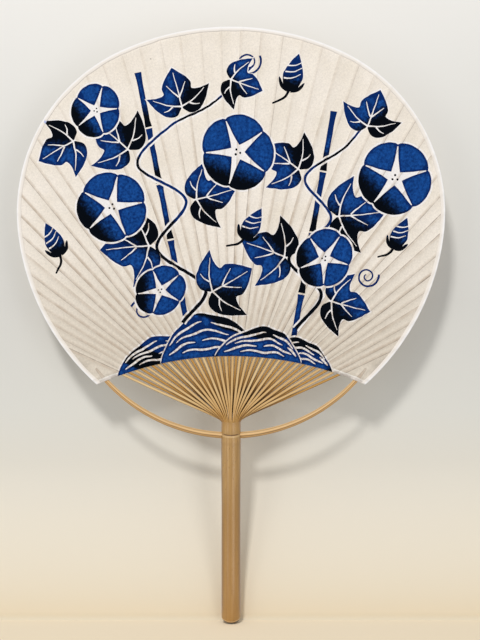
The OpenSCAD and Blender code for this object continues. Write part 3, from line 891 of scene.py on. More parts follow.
def swept(rings: Sequence[Sequence[Vector]], marks: Mapping[str, Mark] | None = None) -> bmesh.types.BMesh:
    """Roll a grid into a bar that passes through rings of points.

    Args:
        rings: Rings of points, in millimetres, each as long as the first.
        marks: Attributes for the finish to read, each worked out from a point's
            number in its ring and its ring's number.

    Returns:
        A closed mesh, with its fibres' map in millimetres.
    """
    sides, last = len(rings[0]), len(rings) - 1
    middles = [sum(ring, Vector((0, 0, 0))) / sides for ring in rings]
    lengths = [0.0]
    for here, there in zip(middles, middles[1:]):
        lengths.append(lengths[-1] + (there - here).length)
    girth = max(sum((ring[j] - ring[j - 1]).length for j in range(sides)) for ring in rings)
    mesh = bmesh.new()
    bmesh.ops.create_grid(mesh, x_segments=sides, y_segments=last, size=0.5)
    fibres = mesh.loops.layers.uv.new("fibres")
    layers = {name: mesh.loops.layers.float.new(name) for name in marks or {}}
    for face in mesh.faces:
        for loop in face.loops:
            across, along = loop.vert.co.x + 0.5, loop.vert.co.y + 0.5
            loop[fibres].uv = (across * girth, lengths[round(along * last)])
            for name, layer in layers.items():
                loop[layer] = marks[name](round(across * sides), round(along * last))
    for vert in mesh.verts:
        column, row = round((vert.co.x + 0.5) * sides), round((vert.co.y + 0.5) * last)
        vert.co = rings[row][column % sides]
    bmesh.ops.remove_doubles(mesh, verts=mesh.verts, dist=1e-5)
    bmesh.ops.holes_fill(mesh, edges=[edge for edge in mesh.edges if edge.is_boundary])
    bmesh.ops.recalc_face_normals(mesh, faces=mesh.faces)
    return mesh


@dataclass
class Ribs:
    """Ribs split from the culm, which fan out and then lie side by side between the sheets."""

    layout: Layout
    neck_d: float = 12.1
    root_t: float = 1.4
    root_rise: float = 3.0
    slit_w: float = 0.05
    stack_share: float = 0.45
    stack_power: float = 1.5
    turn_share: float = 0.3
    lane_end: float = 0.86
    edge_lead: float = 2.0
    fill: float = 0.86
    bend_share: float = 0.85
    heading_step: float = 0.01
    sway: float = 0.3
    slack: float = 0.08
    bent_steps: int = 26
    straight_steps: int = 8
    # Section in a unit square, with the culm's skin on its low side.
    section: Points = (
        (-1.0, -0.45), (-0.8, -0.86), (-0.4, -1.0), (0.4, -1.0), (0.8, -0.86), (1.0, -0.45),
        (1.0, 0.75), (0.82, 1.0), (0.4, 1.0), (-0.4, 1.0), (-0.82, 1.0), (-1.0, 0.75))
    # Where the painted shade of the flanks starts across the section and its width, on the skin and inside.
    skin_flank_shade: tuple[float, float] = (0.68, 0.3)
    inner_flank_shade: tuple[float, float] = (0.3, 0.45)
    seed: int = 41

    @property
    def root_mid_r(self) -> float:
        """Return the radius of the middle of the ribs' roots."""
        return (self.neck_d - self.root_t) / 2

    @property
    def root_half_angle(self) -> float:
        """Return half the angle of the culm that one rib takes."""
        return math.pi / 2 / self.layout.rib_pairs

    def root_direction(self, i: int) -> float:
        """Return a rib's angle round the culm, from its front or its back."""
        return -math.pi / 2 + 2 * self.root_half_angle * (i // 2 + 0.5)

    def stack_end(self, i: int) -> float:
        """Return the share of its way over which a rib keeps its place in the stack."""
        return self.stack_share * abs(math.sin(self.root_direction(i))) ** self.stack_power

    def way(self, i: int, share: float) -> Vector:
        """Return the place of a rib's middle, a share of its way from the culm to the sheets."""
        layout, angle = self.layout, self.layout.rib_directions[i]
        start = Vector((self.root_mid_r * math.sin(self.root_direction(i)), layout.handle_l))
        end = layout.edge_crossing(angle, -self.edge_lead)
        away = (end - layout.fan_centre).length - 2 * self.root_mid_r * abs(math.sin(angle))
        first, second = start + Vector((0, self.root_rise)), end - self.bend_share * away * toward(angle)
        rest = 1 - share
        return (rest ** 3 * start + 3 * rest * rest * share * first
                + 3 * rest * share * share * second + share ** 3 * end)

    def heading(self, i: int, share: float) -> float:
        """Return a rib's direction, a share of its way from the culm to the sheets."""
        if share in (0, 1):
            return share * self.layout.rib_directions[i]
        return direction_of(self.way(i, share + self.heading_step) - self.way(i, share - self.heading_step))

    def room(self, i: int, share: float) -> float:
        """Return the distance from a rib to the next one of the same half of the culm."""
        low, high = max(i - 2, 0), min(i + 2, self.layout.rib_count - 1)
        across = right_of(self.heading(i, share))
        return (self.way(high, share) - self.way(low, share)).dot(across) * 2 / (high - low)

    def lane(self, i: int, share: float) -> float:
        """Return the depth of a rib's middle, a share of its way from the culm to the sheets."""
        stack = self.stack_end(i)
        root = self.root_mid_r * math.cos(self.root_direction(i))
        from_root = root * (1 - ease((share - stack) / (1 - stack)))
        clear = self.layout.rib_t / 2 + self.layout.thread_gap
        apart = mix(min(root, clear), clear, ease((share - stack) / self.turn_share))
        return max(from_root, apart * (1 - ease((share - self.lane_end) / (1 - self.lane_end))))

    def root_corners(self, i: int) -> list[Vector]:
        """Return the corners of a rib's section at the culm, seen from its middle."""
        angle = self.root_direction(i)
        outer, inner = self.neck_d / 2, self.neck_d / 2 - self.root_t
        corners = []
        for radius, turn in ((outer, -1), (outer, 1), (inner, 1), (inner, -1)):
            side = angle + turn * (self.root_half_angle - math.asin(self.slit_w / 2 / radius))
            corners.append(Vector((radius * math.sin(side) - self.root_mid_r * math.sin(angle),
                                   self.root_mid_r * math.cos(angle) - radius * math.cos(side))))
        quarter = math.pi / 4
        first = 1 if angle < -quarter else 3 if angle > quarter else 0
        return corners[first:] + corners[:first]

    def flat_corners(self, width: float, thickness: float) -> list[Vector]:
        """Return the corners of a rib's section in the plane of the fan."""
        return [Vector((s * width / 2, t * thickness / 2)) for s, t in ((-1, -1), (1, -1), (1, 1), (-1, 1))]

    def ring(self, i: int, place: Vector, heading: float, lane: float,
             corners: Sequence[Vector]) -> list[Vector]:
        """Place a rib's section in space.

        Args:
            i: The rib's number, from 0.
            place: The middle of the section in the fan's plane.
            heading: The rib's direction there.
            lane: The depth of the section's middle.
            corners: The section's corners, seen from its middle.

        Returns:
            The ring of points, in millimetres.
        """
        points = []
        for s, t in self.section:
            low, high = (mix(corners[a], corners[b], (s + 1) / 2) for a, b in ((0, 1), (3, 2)))
            corner = mix(low, high, (t + 1) / 2)
            points.append(in_space(place + corner.x * right_of(heading),
                                   self.layout.rib_side(i) * (lane - corner.y)))
        return points

    def rings(self, i: int, slack: float, sway: float) -> list[list[Vector]]:
        """Return all rings of a rib, from the culm to its tip.

        Args:
            i: The rib's number, from 0.
            slack: The share by which this rib is narrower than most.
            sway: How far it bows aside on its way to the sheets, in millimetres.
        """
        layout, angle = self.layout, self.layout.rib_directions[i]
        rings = []
        for share in between(0, 1, self.bent_steps):
            width = min(layout.rib_w, self.fill * self.room(i, share)) * (1 - slack * ease(share * 2))
            turned = ease((share - self.stack_end(i)) / self.turn_share)
            flat = self.flat_corners(width, layout.rib_t)
            corners = [mix(a, b, turned) for a, b in zip(self.root_corners(i), flat)]
            heading = self.heading(i, share)
            place = self.way(i, share) + sway * math.sin(math.pi * share) * right_of(heading)
            rings.append(self.ring(i, place, heading, self.lane(i, share), corners))
        start = layout.edge_crossing(angle, layout.thread_rise)
        end = layout.rim_crossing(angle, layout.rib_tip_inset)
        for share in between(0, 1, self.straight_steps):
            width = mix(layout.rib_w, layout.rib_tip_w, share) * (1 - slack)
            flat = self.flat_corners(width, mix(layout.rib_t, layout.rib_tip_t, share))
            rings.append(self.ring(i, mix(start, end, share), angle, 0, flat))
        return rings

    def build(self, finish: bpy.types.Material) -> None:
        """Build every rib as a piece of its own."""
        chance = random.Random(self.seed)
        for i in range(self.layout.rib_count):
            slack = chance.uniform(0, self.slack)
            tone = chance.uniform(0, 1)
            sway = chance.uniform(-self.sway, self.sway)
            node = f"rib_{i + 1:02d}"
            marks = {"tone": partial(self.plain_mark, tone), "inside": self.inside_mark,
                     "flank": partial(self.flank_shade_mark, self.layout.rib_directions[i] / self.layout.fan_angle)}
            new_piece(swept(self.rings(i, slack, sway), marks), f"{node}_split", finish, node)

    def plain_mark(self, value: float, _point: int, _ring: int) -> float:
        """Return a value that is the same all over a rib."""
        return value

    def flank_shade_mark(self, lean: float, point: int, _ring: int) -> float:
        """Return how much painted shade a rib's edge gets: most on its lower edge, as it leans away from
        upright.
        """
        across, depth = self.section[point % len(self.section)]
        start, width = self.skin_flank_shade if depth < 0 else self.inner_flank_shade
        return ease((abs(across) - start) / width) * (0.7 + 0.3 * lean * across)

    def inside_mark(self, point: int, _ring: int) -> float:
        """Return 0 on the skin side of a rib and 1 on its inner side."""
        return 1.0 if self.section[point % len(self.section)][1] > -0.5 else 0.0


@dataclass
class Bow:
    """A bent strip of bamboo, round in the culm and flat at its tips."""

    layout: Layout
    sides: int = 20
    steps: int = 120

    def half_sizes(self, turn: float, extra: float) -> tuple[float, float]:
        """Return half the bow's width and thickness at an angle about its centre."""
        layout = self.layout
        share = clamp01(abs(turn) / layout.bow_taper_end)
        return (mix(layout.bow_d, layout.bow_tip_w, share) / 2 + extra,
                mix(layout.bow_d, layout.bow_tip_t, share * share) / 2 + extra)

    def ring(self, turn: float) -> list[Vector]:
        """Return a ring round the bow at an angle about its centre."""
        out = below(turn)
        middle = self.layout.bow_centre + self.layout.bow_r * out
        wide, thick = self.half_sizes(turn, 0)
        return [in_space(middle + wide * math.cos(a) * out, thick * math.sin(a)) for a in turns(self.sides)]

    def build(self, finish: bpy.types.Material) -> None:
        """Build the bow."""
        end = self.layout.bow_end_direction
        rings = [self.ring(end * share) for share in spread(self.steps)]
        marks = {"around": lambda point, _ring: point / self.sides}
        new_piece(swept(rings, marks), "bow_bamboo", finish, "bow")


@dataclass
class Culm:
    """The bamboo culm that is the fan's handle, with its node, scar and hole for the bow."""

    layout: Layout
    grip_r: float = 5.85
    grip_top: float = 70.0
    butt_round: float = 3.5
    node_r: float = 6.25
    neck_r: float = 6.05
    node_drop: float = 12.0
    node_wall: float = 2.0
    scar_drop: float = 8.0
    scar_depth: float = 0.3
    scar_w: float = 0.6
    scar_rise: float = 0.7
    scar_reach: float = 3.2
    bore_r: float = 4.0
    neck_bore_r: float = 4.3
    bow_gap: float = 0.25
    steps: int = 96
    butt_steps: int = 10
    hole_sides: int = 48

    @property
    def scar_z(self) -> float:
        """Return the height of the scar."""
        return self.layout.handle_l - self.scar_drop

    @property
    def node_z(self) -> float:
        """Return the height of the node."""
        return self.layout.handle_l - self.node_drop

    def outer_profile(self) -> list[tuple[float, float]]:
        """Return radii and heights down the culm's outside, from the split to the bore's mouth."""
        top, scar_z, node_z = self.layout.handle_l, self.scar_z, self.node_z
        points = [(self.neck_r, top), (self.neck_r, top - 3.0), (self.neck_r, scar_z + self.scar_w),
                  (self.neck_r - self.scar_depth, scar_z), (self.neck_r + 0.05, scar_z - self.scar_w * 0.8),
                  (self.neck_r, scar_z - 1.6), (self.neck_r + 0.02, node_z + 1.2),
                  (self.node_r - 0.05, node_z + 0.6), (self.node_r, node_z),
                  (self.node_r - 0.06, node_z - 0.8)]
        for share in between(0, 1, 10):
            points.append((mix(self.node_r - 0.12, self.grip_r, ease(share)),
                           mix(node_z - 2.0, self.grip_top, share)))
        points += [(self.grip_r, z) for z in between(self.grip_top, self.butt_round, 8)[1:-1]]
        for k in range(self.butt_steps + 1):
            turn = math.pi / 2 * (1 - k / self.butt_steps)
            radius = self.grip_r - self.butt_round + self.butt_round * math.sin(turn)
            if radius > self.bore_r:
                points.append((radius, self.butt_round * (1 - math.cos(turn))))
        return points

    def build(self, finish: bpy.types.Material) -> None:
        """Build the culm."""
        floor_z, roof_z = self.node_z + self.node_wall / 2, self.node_z - self.node_wall / 2
        past_round = self.bore_r - self.grip_r + self.butt_round
        mouth = self.butt_round - math.sqrt(self.butt_round ** 2 - past_round ** 2)
        profile = [(0.0, floor_z), (self.neck_bore_r, floor_z), (self.neck_bore_r, self.layout.handle_l),
                   *self.outer_profile(), (self.bore_r, mouth), (self.bore_r, roof_z), (0.0, roof_z)]
        mesh = bmesh.new()
        verts = [mesh.verts.new((radius, 0, z)) for radius, z in profile]
        edges = [mesh.edges.new(pair) for pair in zip(verts, verts[1:])]
        bmesh.ops.spin(mesh, geom=[*verts, *edges], cent=(0, 0, 0), axis=(0, 0, 1), dvec=(0, 0, 0),
                       angle=2 * math.pi, steps=self.steps, use_merge=True)
        bmesh.ops.remove_doubles(mesh, verts=mesh.verts, dist=1e-4)
        bmesh.ops.recalc_face_normals(mesh, faces=mesh.faces)
        for vert in mesh.verts:
            if math.hypot(vert.co.x, vert.co.y) > self.neck_bore_r + 0.5:
                near = 1 - ease(abs(vert.co.z - self.scar_z) / self.scar_reach)
                vert.co.z += near * self.scar_rise * (vert.co.x / self.neck_r) ** 2
        self.drill(new_piece(mesh, "culm", finish, "handle"))

    def drill(self, culm: bpy.types.Object) -> None:
        """Cut the bow's hole through the culm."""
        mesh = bmesh.new()
        radius = self.layout.bow_d / 2 + self.bow_gap
        bmesh.ops.create_cone(mesh, cap_ends=True, segments=self.hole_sides, radius1=radius,
                              radius2=radius, depth=4 * self.node_r)
        bmesh.ops.rotate(mesh, verts=mesh.verts, cent=(0, 0, 0),
                         matrix=Vector((0, 0, 1)).rotation_difference(Vector((1, 0, 0))).to_matrix())
        bmesh.ops.translate(mesh, verts=mesh.verts, vec=(0, 0, self.layout.bow_z))
        bmesh.ops.scale(mesh, vec=(MM, MM, MM), verts=mesh.verts)
        data = new_mesh(mesh, "drill")
        drill = new_object(data, "drill")
        cut = culm.modifiers.new("hole", "BOOLEAN")
        cut.operation, cut.solver, cut.object = "DIFFERENCE", "EXACT", drill
        bpy.context.view_layer.update()
        done = bpy.data.meshes.new_from_object(culm.evaluated_get(bpy.context.evaluated_depsgraph_get()))
        culm.modifiers.clear()
        culm.data = done
        done.set_sharp_from_angle(angle=SMOOTH_ANGLE)
        bpy.data.objects.remove(drill)
        bpy.data.meshes.remove(data)


@dataclass
class Thread:
    """The two-ply thread woven through the ribs, its ends wound round the bow."""

    layout: Layout
    bow: Bow
    ply_r: float = 0.075
    twist_mm: float = 1.1
    step: float = 0.3
    sides: int = 6
    knot_turns: int = 9
    knot_steps: int = 26

    def weave_way(self) -> list[Vector]:
        """Return the thread's way, in front of one rib and behind the next."""
        layout = self.layout
        end = direction_of(layout.thread_on_bow - layout.edge_centre)
        knot = (layout.bow_tip_w / 2 + layout.knot_t + 2 * layout.thread_gap) / layout.thread_r
        knot /= math.sin(layout.knot_direction + end)
        stops = [(knot - end, 0.0)]
        for i, angle in enumerate(layout.rib_directions):
            at = direction_of(layout.edge_crossing(angle, layout.thread_rise) - layout.edge_centre)
            half = (layout.rib_w + layout.thread_d) / 2 / math.cos(angle - at) / layout.thread_r
            depth = layout.rib_side(i) * layout.thread_y
            stops += [(at - half, depth), (at + half, depth)]
        stops.append((end - knot, 0.0))
        way = []
        for (start, depth), (stop, next_depth) in zip(stops, stops[1:]):
            count = max(round((stop - start) * layout.thread_r / self.step), 2)
            for share in between(0, 1, count)[:-1]:
                place = layout.edge_centre + layout.thread_r * toward(mix(start, stop, share))
                way.append(in_space(place, mix(depth, next_depth, ease(share))))
        return way

    def strand(self, way: Sequence[Vector], radius: float, offset: float, phase: float) -> list[list[Vector]]:
        """Return the rings of a strand that twists round a way.

        Args:
            way: The points of the way.
            radius: The strand's own radius.
            offset: Its distance from the way.
            phase: Where round the way it starts.
        """
        rings, length, last = [], 0.0, len(way) - 1
        for k, place in enumerate(way):
            along = (way[min(k + 1, last)] - way[max(k - 1, 0)]).normalized()
            length += (place - way[max(k - 1, 0)]).length
            first = along.orthogonal() if abs(along.y) > 0.9 else along.cross(Vector((0, 1, 0))).normalized()
            second = along.cross(first)
            turn = phase + 2 * math.pi * length / self.twist_mm
            middle = place + offset * (math.cos(turn) * first + math.sin(turn) * second)
            rounds = [turn + a for a in turns(self.sides)]
            rings.append([middle + radius * (math.cos(a) * first + math.sin(a) * second) for a in rounds])
        return rings

    def knot_way(self, side: int) -> list[Vector]:
        """Return the way of the thread's end, wound round the bow."""
        layout = self.layout
        half = (layout.knot_l - layout.knot_t) / 2 / layout.bow_r
        way = []
        for share in between(0, 1, self.knot_turns * self.knot_steps):
            turn = side * (layout.knot_direction + mix(-half, half, share))
            out = below(turn)
            wide, thick = self.bow.half_sizes(turn, layout.thread_gap + layout.knot_t / 2)
            around = 2 * math.pi * self.knot_turns * share
            middle = layout.bow_centre + (layout.bow_r + wide * math.cos(around)) * out
            way.append(in_space(middle, thick * math.sin(around)))
        return way

    def build(self, finish: bpy.types.Material) -> None:
        """Build the thread and its two knots."""
        way, offset = self.weave_way(), self.layout.thread_d / 2 - self.ply_r
        mesh, ply = (swept(self.strand(way, self.ply_r, offset, phase)) for phase in (0.0, math.pi))
        data = new_mesh(ply, "ply")
        mesh.from_mesh(data)
        bpy.data.meshes.remove(data)
        new_piece(mesh, "weaving_thread_cotton", finish, "weaving_thread")
        for side, node in ((-1, "knot_left"), (1, "knot_right")):
            rings = self.strand(self.knot_way(side), self.layout.knot_t / 2, 0.0, 0.0)
            new_piece(swept(rings), f"{node}_cotton", finish, node)


class Face(Enum):
    """The two faces of the fan, by the side of its plane that they look to."""

    FRONT = -1
    BACK = 1


@dataclass
class Relief:
    """What lies under a sheet: the rib under each place, the thread and the bow's tips."""

    layout: Layout
    slope: float = 0.9
    ridge_half: float = 1.5
    valley: float = 0.03
    bow_slope: float = 1.2
    streak_half: float = 1.35
    streak_tip_half: float = 0.4
    thread_cover: float = 0.06
    knot_cover: float = 0.1
    # Shares of the thread's height that show: over a rib that it passes on this face, over one
    # that it passes on the other face, in a hollow and outside the ribs.
    lifts: tuple[float, float, float, float] = (1.0, 0.45, 0.7, 0.6)

    def beside(self, place: Vector) -> tuple[float, float, float, float, int]:
        """Find the rib nearest to a place.

        Returns:
            The distance aside from the rib, half its width, the distance aside of
            the hollow beside it, the share of its length and its number.
        """
        layout = self.layout
        way = place - layout.fan_centre
        far, angle = way.length, direction_of(way)
        gaps = layout.gap_directions
        i = bisect(gaps, angle)
        centre = layout.rib_directions[i]
        aside = abs(far * math.sin(angle - centre))
        gap = gaps[i] if (angle > centre and i < len(gaps)) or i == 0 else gaps[i - 1]
        hollow = abs(far * math.sin(gap - centre))
        near = (layout.edge_crossing(centre, layout.thread_rise) - layout.fan_centre).length
        tip = (layout.rim_crossing(centre, 0) - layout.fan_centre).length
        share = (far - near) / (tip - near)
        return aside, mix(layout.rib_w, layout.rib_tip_w, clamp01(share)) / 2, hollow, share, i

    def under(self, place: Vector, face: Face) -> float:
        """Return half the thickness of what lies under a sheet at a place."""
        layout = self.layout
        aside, half, hollow, share, i = self.beside(place)
        core = layout.core_half(share)
        outside = i in (0, layout.rib_count - 1) and aside > hollow
        slope = self.slope if outside else min(self.slope, max(hollow - half, 0.05))
        valley = mix(core, self.valley, ease((hollow - half) / self.slope))
        height = mix(core, valley, ease((aside - half) / slope))
        from_thread = abs((place - layout.edge_centre).length - layout.thread_r)
        on_this, on_other, in_hollow, past_ribs = self.lifts
        over = on_this if layout.rib_side(i) == face.value else on_other
        lift = past_ribs if outside else mix(over, in_hollow, ease(aside / hollow))
        thread = (layout.thread_y + layout.thread_d / 2 + self.thread_cover - height) * lift
        height += max(thread, 0) * (1 - ease(from_thread / self.ridge_half))
        return max(height, self.bow_under(place))

    def off_bow(self, place: Vector) -> float:
        """Return the distance from a place to the edge of the bow, less than 0 over the bow."""
        layout = self.layout
        across = layout.off_bow_axis(place) - layout.bow_tip_w / 2
        past = (abs(layout.bow_direction(place)) - layout.bow_end_direction) * layout.bow_r
        return math.hypot(across, past) if across > 0 and past > 0 else max(across, past)

    def off_streak(self, place: Vector) -> float:
        """Return the distance from a place to the streak that the bow's tip shows as."""
        layout = self.layout
        start, end = layout.bow_taper_end, layout.bow_end_direction
        share = clamp01((abs(layout.bow_direction(place)) - start) / (end - start))
        half = mix(self.streak_half, self.streak_tip_half, share)
        return max(self.off_bow(place), layout.off_bow_axis(place) - half)

    def bow_under(self, place: Vector) -> float:
        """Return half the thickness of the bow's tip and knot under a place."""
        layout = self.layout
        away = max(self.off_bow(place), 0)
        height = mix(layout.bow_tip_t / 2 + layout.paste_gap, 0, ease(away / self.bow_slope))
        from_knot = abs(abs(layout.bow_direction(place)) - layout.knot_direction) * layout.bow_r
        knot = math.hypot(max(layout.off_bow_axis(place) - layout.bow_tip_w / 2, 0),
                          max(from_knot - layout.knot_l / 2, 0))
        on_knot = layout.bow_tip_t / 2 + layout.knot_t + self.knot_cover
        return max(height, mix(on_knot, 0, ease(knot / self.bow_slope)))


Shade = Callable[[Vector], float]
Widths = Callable[[float], float]


def no_black(_place: Vector) -> float:
    """Return the share of black in a motif that is plain indigo."""
    return 0.0


@dataclass(frozen=True)
class Motif:
    """One area of the print, dyed or kept free of dye by the resist paste."""

    outline: list[Vector]
    dyed: bool
    black: Shade = no_black


def smooth_curve(points: Sequence[Vector], step: float) -> list[Vector]:
    """Draw a smooth curve through a few points, its own points a step apart."""
    ends = [2 * points[0] - points[1], *points, 2 * points[-1] - points[-2]]
    curve = []
    for before, start, end, after in zip(ends, ends[1:], ends[2:], ends[3:]):
        count = max(round((end - start).length / step), 1)
        for t in between(0, 1, count)[:-1]:
            curve.append(0.5 * (2 * start + (end - before) * t
                                + (2 * before - 5 * start + 4 * end - after) * t * t
                                + (3 * start - before - 3 * end + after) * t ** 3))
    return [*curve, points[-1]]


def ribbon(line: Sequence[Vector], widths: Widths) -> list[Vector]:
    """Return the outline of a line with the width at each share of its way."""
    left, right, last = [], [], len(line) - 1
    for k, place in enumerate(line):
        way = (line[min(k + 1, last)] - line[max(k - 1, 0)]).normalized()
        aside = Vector((-way.y, way.x)) * widths(k / last) / 2
        left.append(place + aside)
        right.append(place - aside)
    return right + left[::-1]


def tapered(width: float, thin: float = 0.3) -> Widths:
    """Return the widths of a brush stroke that is thin at both ends."""
    return lambda share: width * mix(thin, 1, math.sin(math.pi * clamp01(share)) ** 0.6)


def narrowing(width: float, end: float) -> Widths:
    """Return the widths of a stroke that narrows from its start to its end."""
    return lambda share: mix(width, end, share)


def flared(width: float, flare: float) -> Widths:
    """Return the widths of a stroke that flares at both ends, by a share of its width."""
    return lambda share: width * (1 + flare * abs(2 * share - 1) ** 6)


def fading(start: Vector, end: Vector, length: float) -> Shade:
    """Return a black that is full at a place and fades to indigo over a length towards another."""
    unit = (end - start).normalized()
    return lambda place: 1 - ease((place - start).dot(unit) / length)


@dataclass(frozen=True)
class Frame2D:
    """A place, size and turn for a motif drawn about its own origin."""

    place: Vector
    size: float
    turn: float
    squash: float = 1.0

    def at(self, across: float, along: float) -> Vector:
        """Return a point of the motif, from its own coordinates."""
        up, right = toward(self.turn), toward(self.turn + math.pi / 2)
        return self.place + self.size * (across * self.squash * right + along * up)

    def larger(self, margin: float) -> Frame2D:
        """Return the frame with the motif larger by a margin all round."""
        return Frame2D(self.place, self.size + margin, self.turn, self.squash)


@dataclass
class MorningGloryPrint:
    """A stencil-dyed print: morning glories that climb two stakes above a stream.

    Each motif is cut as a stencil is: first a narrow margin without dye, then the
    dyed shape, then its fine lines without dye.
    """

    layout: Layout
    margin: float = 1.1
    vein: float = 1.0
    point_step: float = 1.1
    cut_slip: float = 0.22
    slip_scale: float = 0.35
    corolla_points: int = 90
    swell_points: int = 60
    seed: int = 7
    # Half of each shape, and its lines, in units of the motif's size.
    star_ray: Points = ((0.13, 0.1), (0.085, 0.3), (0.05, 0.5), (0.03, 0.7), (0.012, 0.86))
    leaf_lower: Points = (
        (0, 0.07), (0.16, -0.1), (0.38, -0.07), (0.56, 0.12), (0.66, 0.3), (0.74, 0.47))
    leaf_upper: Points = (
        (0.74, 0.47), (0.5, 0.43), (0.33, 0.47), (0.34, 0.62), (0.22, 0.82), (0, 1.05))
    veins: tuple[Points, ...] = (
        ((0, 0.03), (0.01, 0.5), (0, 0.93)), ((0.01, 0.1), (0.3, 0.2), (0.6, 0.4)),
        ((-0.01, 0.1), (-0.3, 0.2), (-0.6, 0.4)), ((0.01, 0.34), (0.1, 0.46), (0.22, 0.66)),
        ((-0.01, 0.34), (-0.1, 0.46), (-0.22, 0.66)), ((0.2, 0.14), (0.3, 0.08), (0.42, 0.06)),
        ((-0.2, 0.14), (-0.3, 0.08), (-0.42, 0.06)))
    bud_side: Points = (
        (0.1, 0), (0.17, 0.2), (0.2, 0.42), (0.14, 0.68), (0.05, 0.9), (0, 1.0))
    # Each line along a swell's back: its level, and where it starts and ends.
    swell_lines: Rows = ((0.8, 0.12, 0.48), (0.8, 0.56, 0.86), (0.6, 0.2, 0.7), (0.6, 0.78, 0.92),
                         (0.4, 0.1, 0.4), (0.4, 0.47, 0.85), (0.2, 0.25, 0.75))
    # Where the motifs are, in the order of painting: lower end, upper end and joints of a stake.
    stakes: tuple[Any, ...] = (((-24, 168), (-58, 342), 5), ((37, 166), (64, 318), 4))
    # Start and end of a swell along the edge, its height, lean and seed.
    swells: Rows = ((-72, -12, 17, 0.0, 1.0), (12, 64, 15, 0.06, 4.2), (-44, 20, 27, -0.05, 7.7),
                    (-10, 44, 19, 0.08, 2.4))
    vines: tuple[Points, ...] = (
        ((-30, 186), (-16, 208), (-46, 232), (-28, 262), (-58, 284), (-38, 308), (-12, 322), (14, 346)),
        ((40, 182), (56, 204), (36, 226), (62, 250), (46, 276), (72, 296), (92, 322)))
    # Place, size and turn in degrees, then a tendril's rounds or a flower's squash.
    tendrils: Rows = ((18, 352, 17, 60, 1.9), (-62, 196, 15, -75, 1.8), (92, 216, 15, 80, 1.7))
    leaves: Rows = (
        (-48, 234, 32, -95), (-24, 262, 27, 75), (-62, 292, 29, -50), (-30, 318, 26, -15),
        (36, 226, 30, -70), (64, 252, 31, 85), (44, 280, 27, -55), (84, 306, 25, 20),
        (-14, 204, 30, 60), (60, 200, 26, 105), (-96, 300, 26, -120), (-2, 338, 22, 110))
    flowers: Rows = (
        (-74, 258, 22, 10, 1.0), (4, 292, 24, -20, 0.94), (58, 226, 19, 35, 0.9),
        (102, 276, 23, 5, 1.0), (-44, 206, 17, 50, 0.86), (-84, 318, 17, 15, 0.9))
    buds: Rows = ((36, 330, 24, 15), (101, 232, 21, 24), (-106, 228, 22, -25), (8, 238, 22, 30))
    motifs: list[Motif] = field(default_factory=list)

    def cut(self, outline: list[Vector], dyed: bool, black: Shade = no_black) -> None:
        """Add an area, its outline shaken a little as a hand-held knife does."""
        area = sum(a.x * b.y - b.x * a.y for a, b in zip(outline, outline[1:] + outline[:1]))
        shaken = []
        for place in outline if area > 0 else outline[::-1]:
            drift = noise.noise_vector(Vector((place.x, place.y, self.seed)) * self.slip_scale)
            shaken.append(place + self.cut_slip * Vector((drift.x, drift.y)))
        self.motifs.append(Motif(shaken, dyed, black))

    def stencil(self, shape: Callable[[Frame2D], list[Vector]], frame: Frame2D, black: Shade) -> None:
        """Add a dyed shape with the margin round it."""
        self.cut(shape(frame.larger(self.margin)), False, black)
        self.cut(shape(frame), True, black)

    def curve(self, frame: Frame2D, points: Points, way: int = 1) -> list[Vector]:
        """Return a smooth curve through a motif's own points, mirrored when way is -1."""
        return smooth_curve([frame.at(way * x, y) for x, y in points], self.point_step)

    def stroke(self, frame: Frame2D, points: Points, widths: Widths, dyed: bool = False,
               black: Shade = no_black) -> None:
        """Add a curved line through a motif's own points."""
        self.cut(ribbon(self.curve(frame, points), widths), dyed, black)

    def corolla(self, frame: Frame2D) -> list[Vector]:
        """Return a flower's round outline, drawn in at the ends of its five rays."""
        outline = []
        for angle in turns(self.corolla_points):
            radius = 0.91 + 0.09 * abs(math.sin(2.5 * angle)) ** 0.55
            outline.append(frame.at(radius * math.sin(angle), radius * math.cos(angle)))
        return outline

    def dot(self, frame: Frame2D, radius: float, count: int, off: float = 0.0,
            turn: float = 0.0) -> list[Vector]:
        """Return a round dot, a little off a motif's middle."""
        across, along = off * math.sin(turn), off * math.cos(turn)
        return [frame.at(across + radius * math.sin(a), along + radius * math.cos(a)) for a in turns(count)]

    def flower(self, frame: Frame2D, black: Shade) -> None:
        """Add an open flower: a round corolla with a star of five undyed rays."""
        self.stencil(self.corolla, frame, black)
        for turn in turns(5):
            sine, cosine = math.sin(turn), math.cos(turn)
            left, right = ([frame.at(way * x * cosine + y * sine, y * cosine - way * x * sine)
                            for x, y in self.star_ray] for way in (1, -1))
            self.cut(left + right[::-1], False)
        self.cut(self.dot(frame, 0.2, 24), False)
        for turn in turns(3):
            self.cut(self.dot(frame, 0.032, 10, 0.075, turn), True, lambda _place: 1.0)

    def lobes(self, frame: Frame2D) -> list[Vector]:
        """Return a leaf's outline with its three lobes."""
        right, left = ([place for part in (self.leaf_lower, self.leaf_upper)
                        for place in self.curve(frame, part, way)[:-1]] for way in (1, -1))
        return right + [frame.at(*self.leaf_upper[-1])] + left[:0:-1]

    def leaf(self, frame: Frame2D, black: Shade) -> None:
        """Add a three-lobed leaf with undyed veins."""
        self.stencil(self.lobes, frame, black)
        for vein in self.veins:
            self.stroke(frame, vein, narrowing(self.vein, 0.35))

    def furl(self, frame: Frame2D) -> list[Vector]:
        """Return a bud's outline."""
        right, left = (self.curve(frame, self.bud_side, way) for way in (1, -1))
        return right + left[-2::-1]

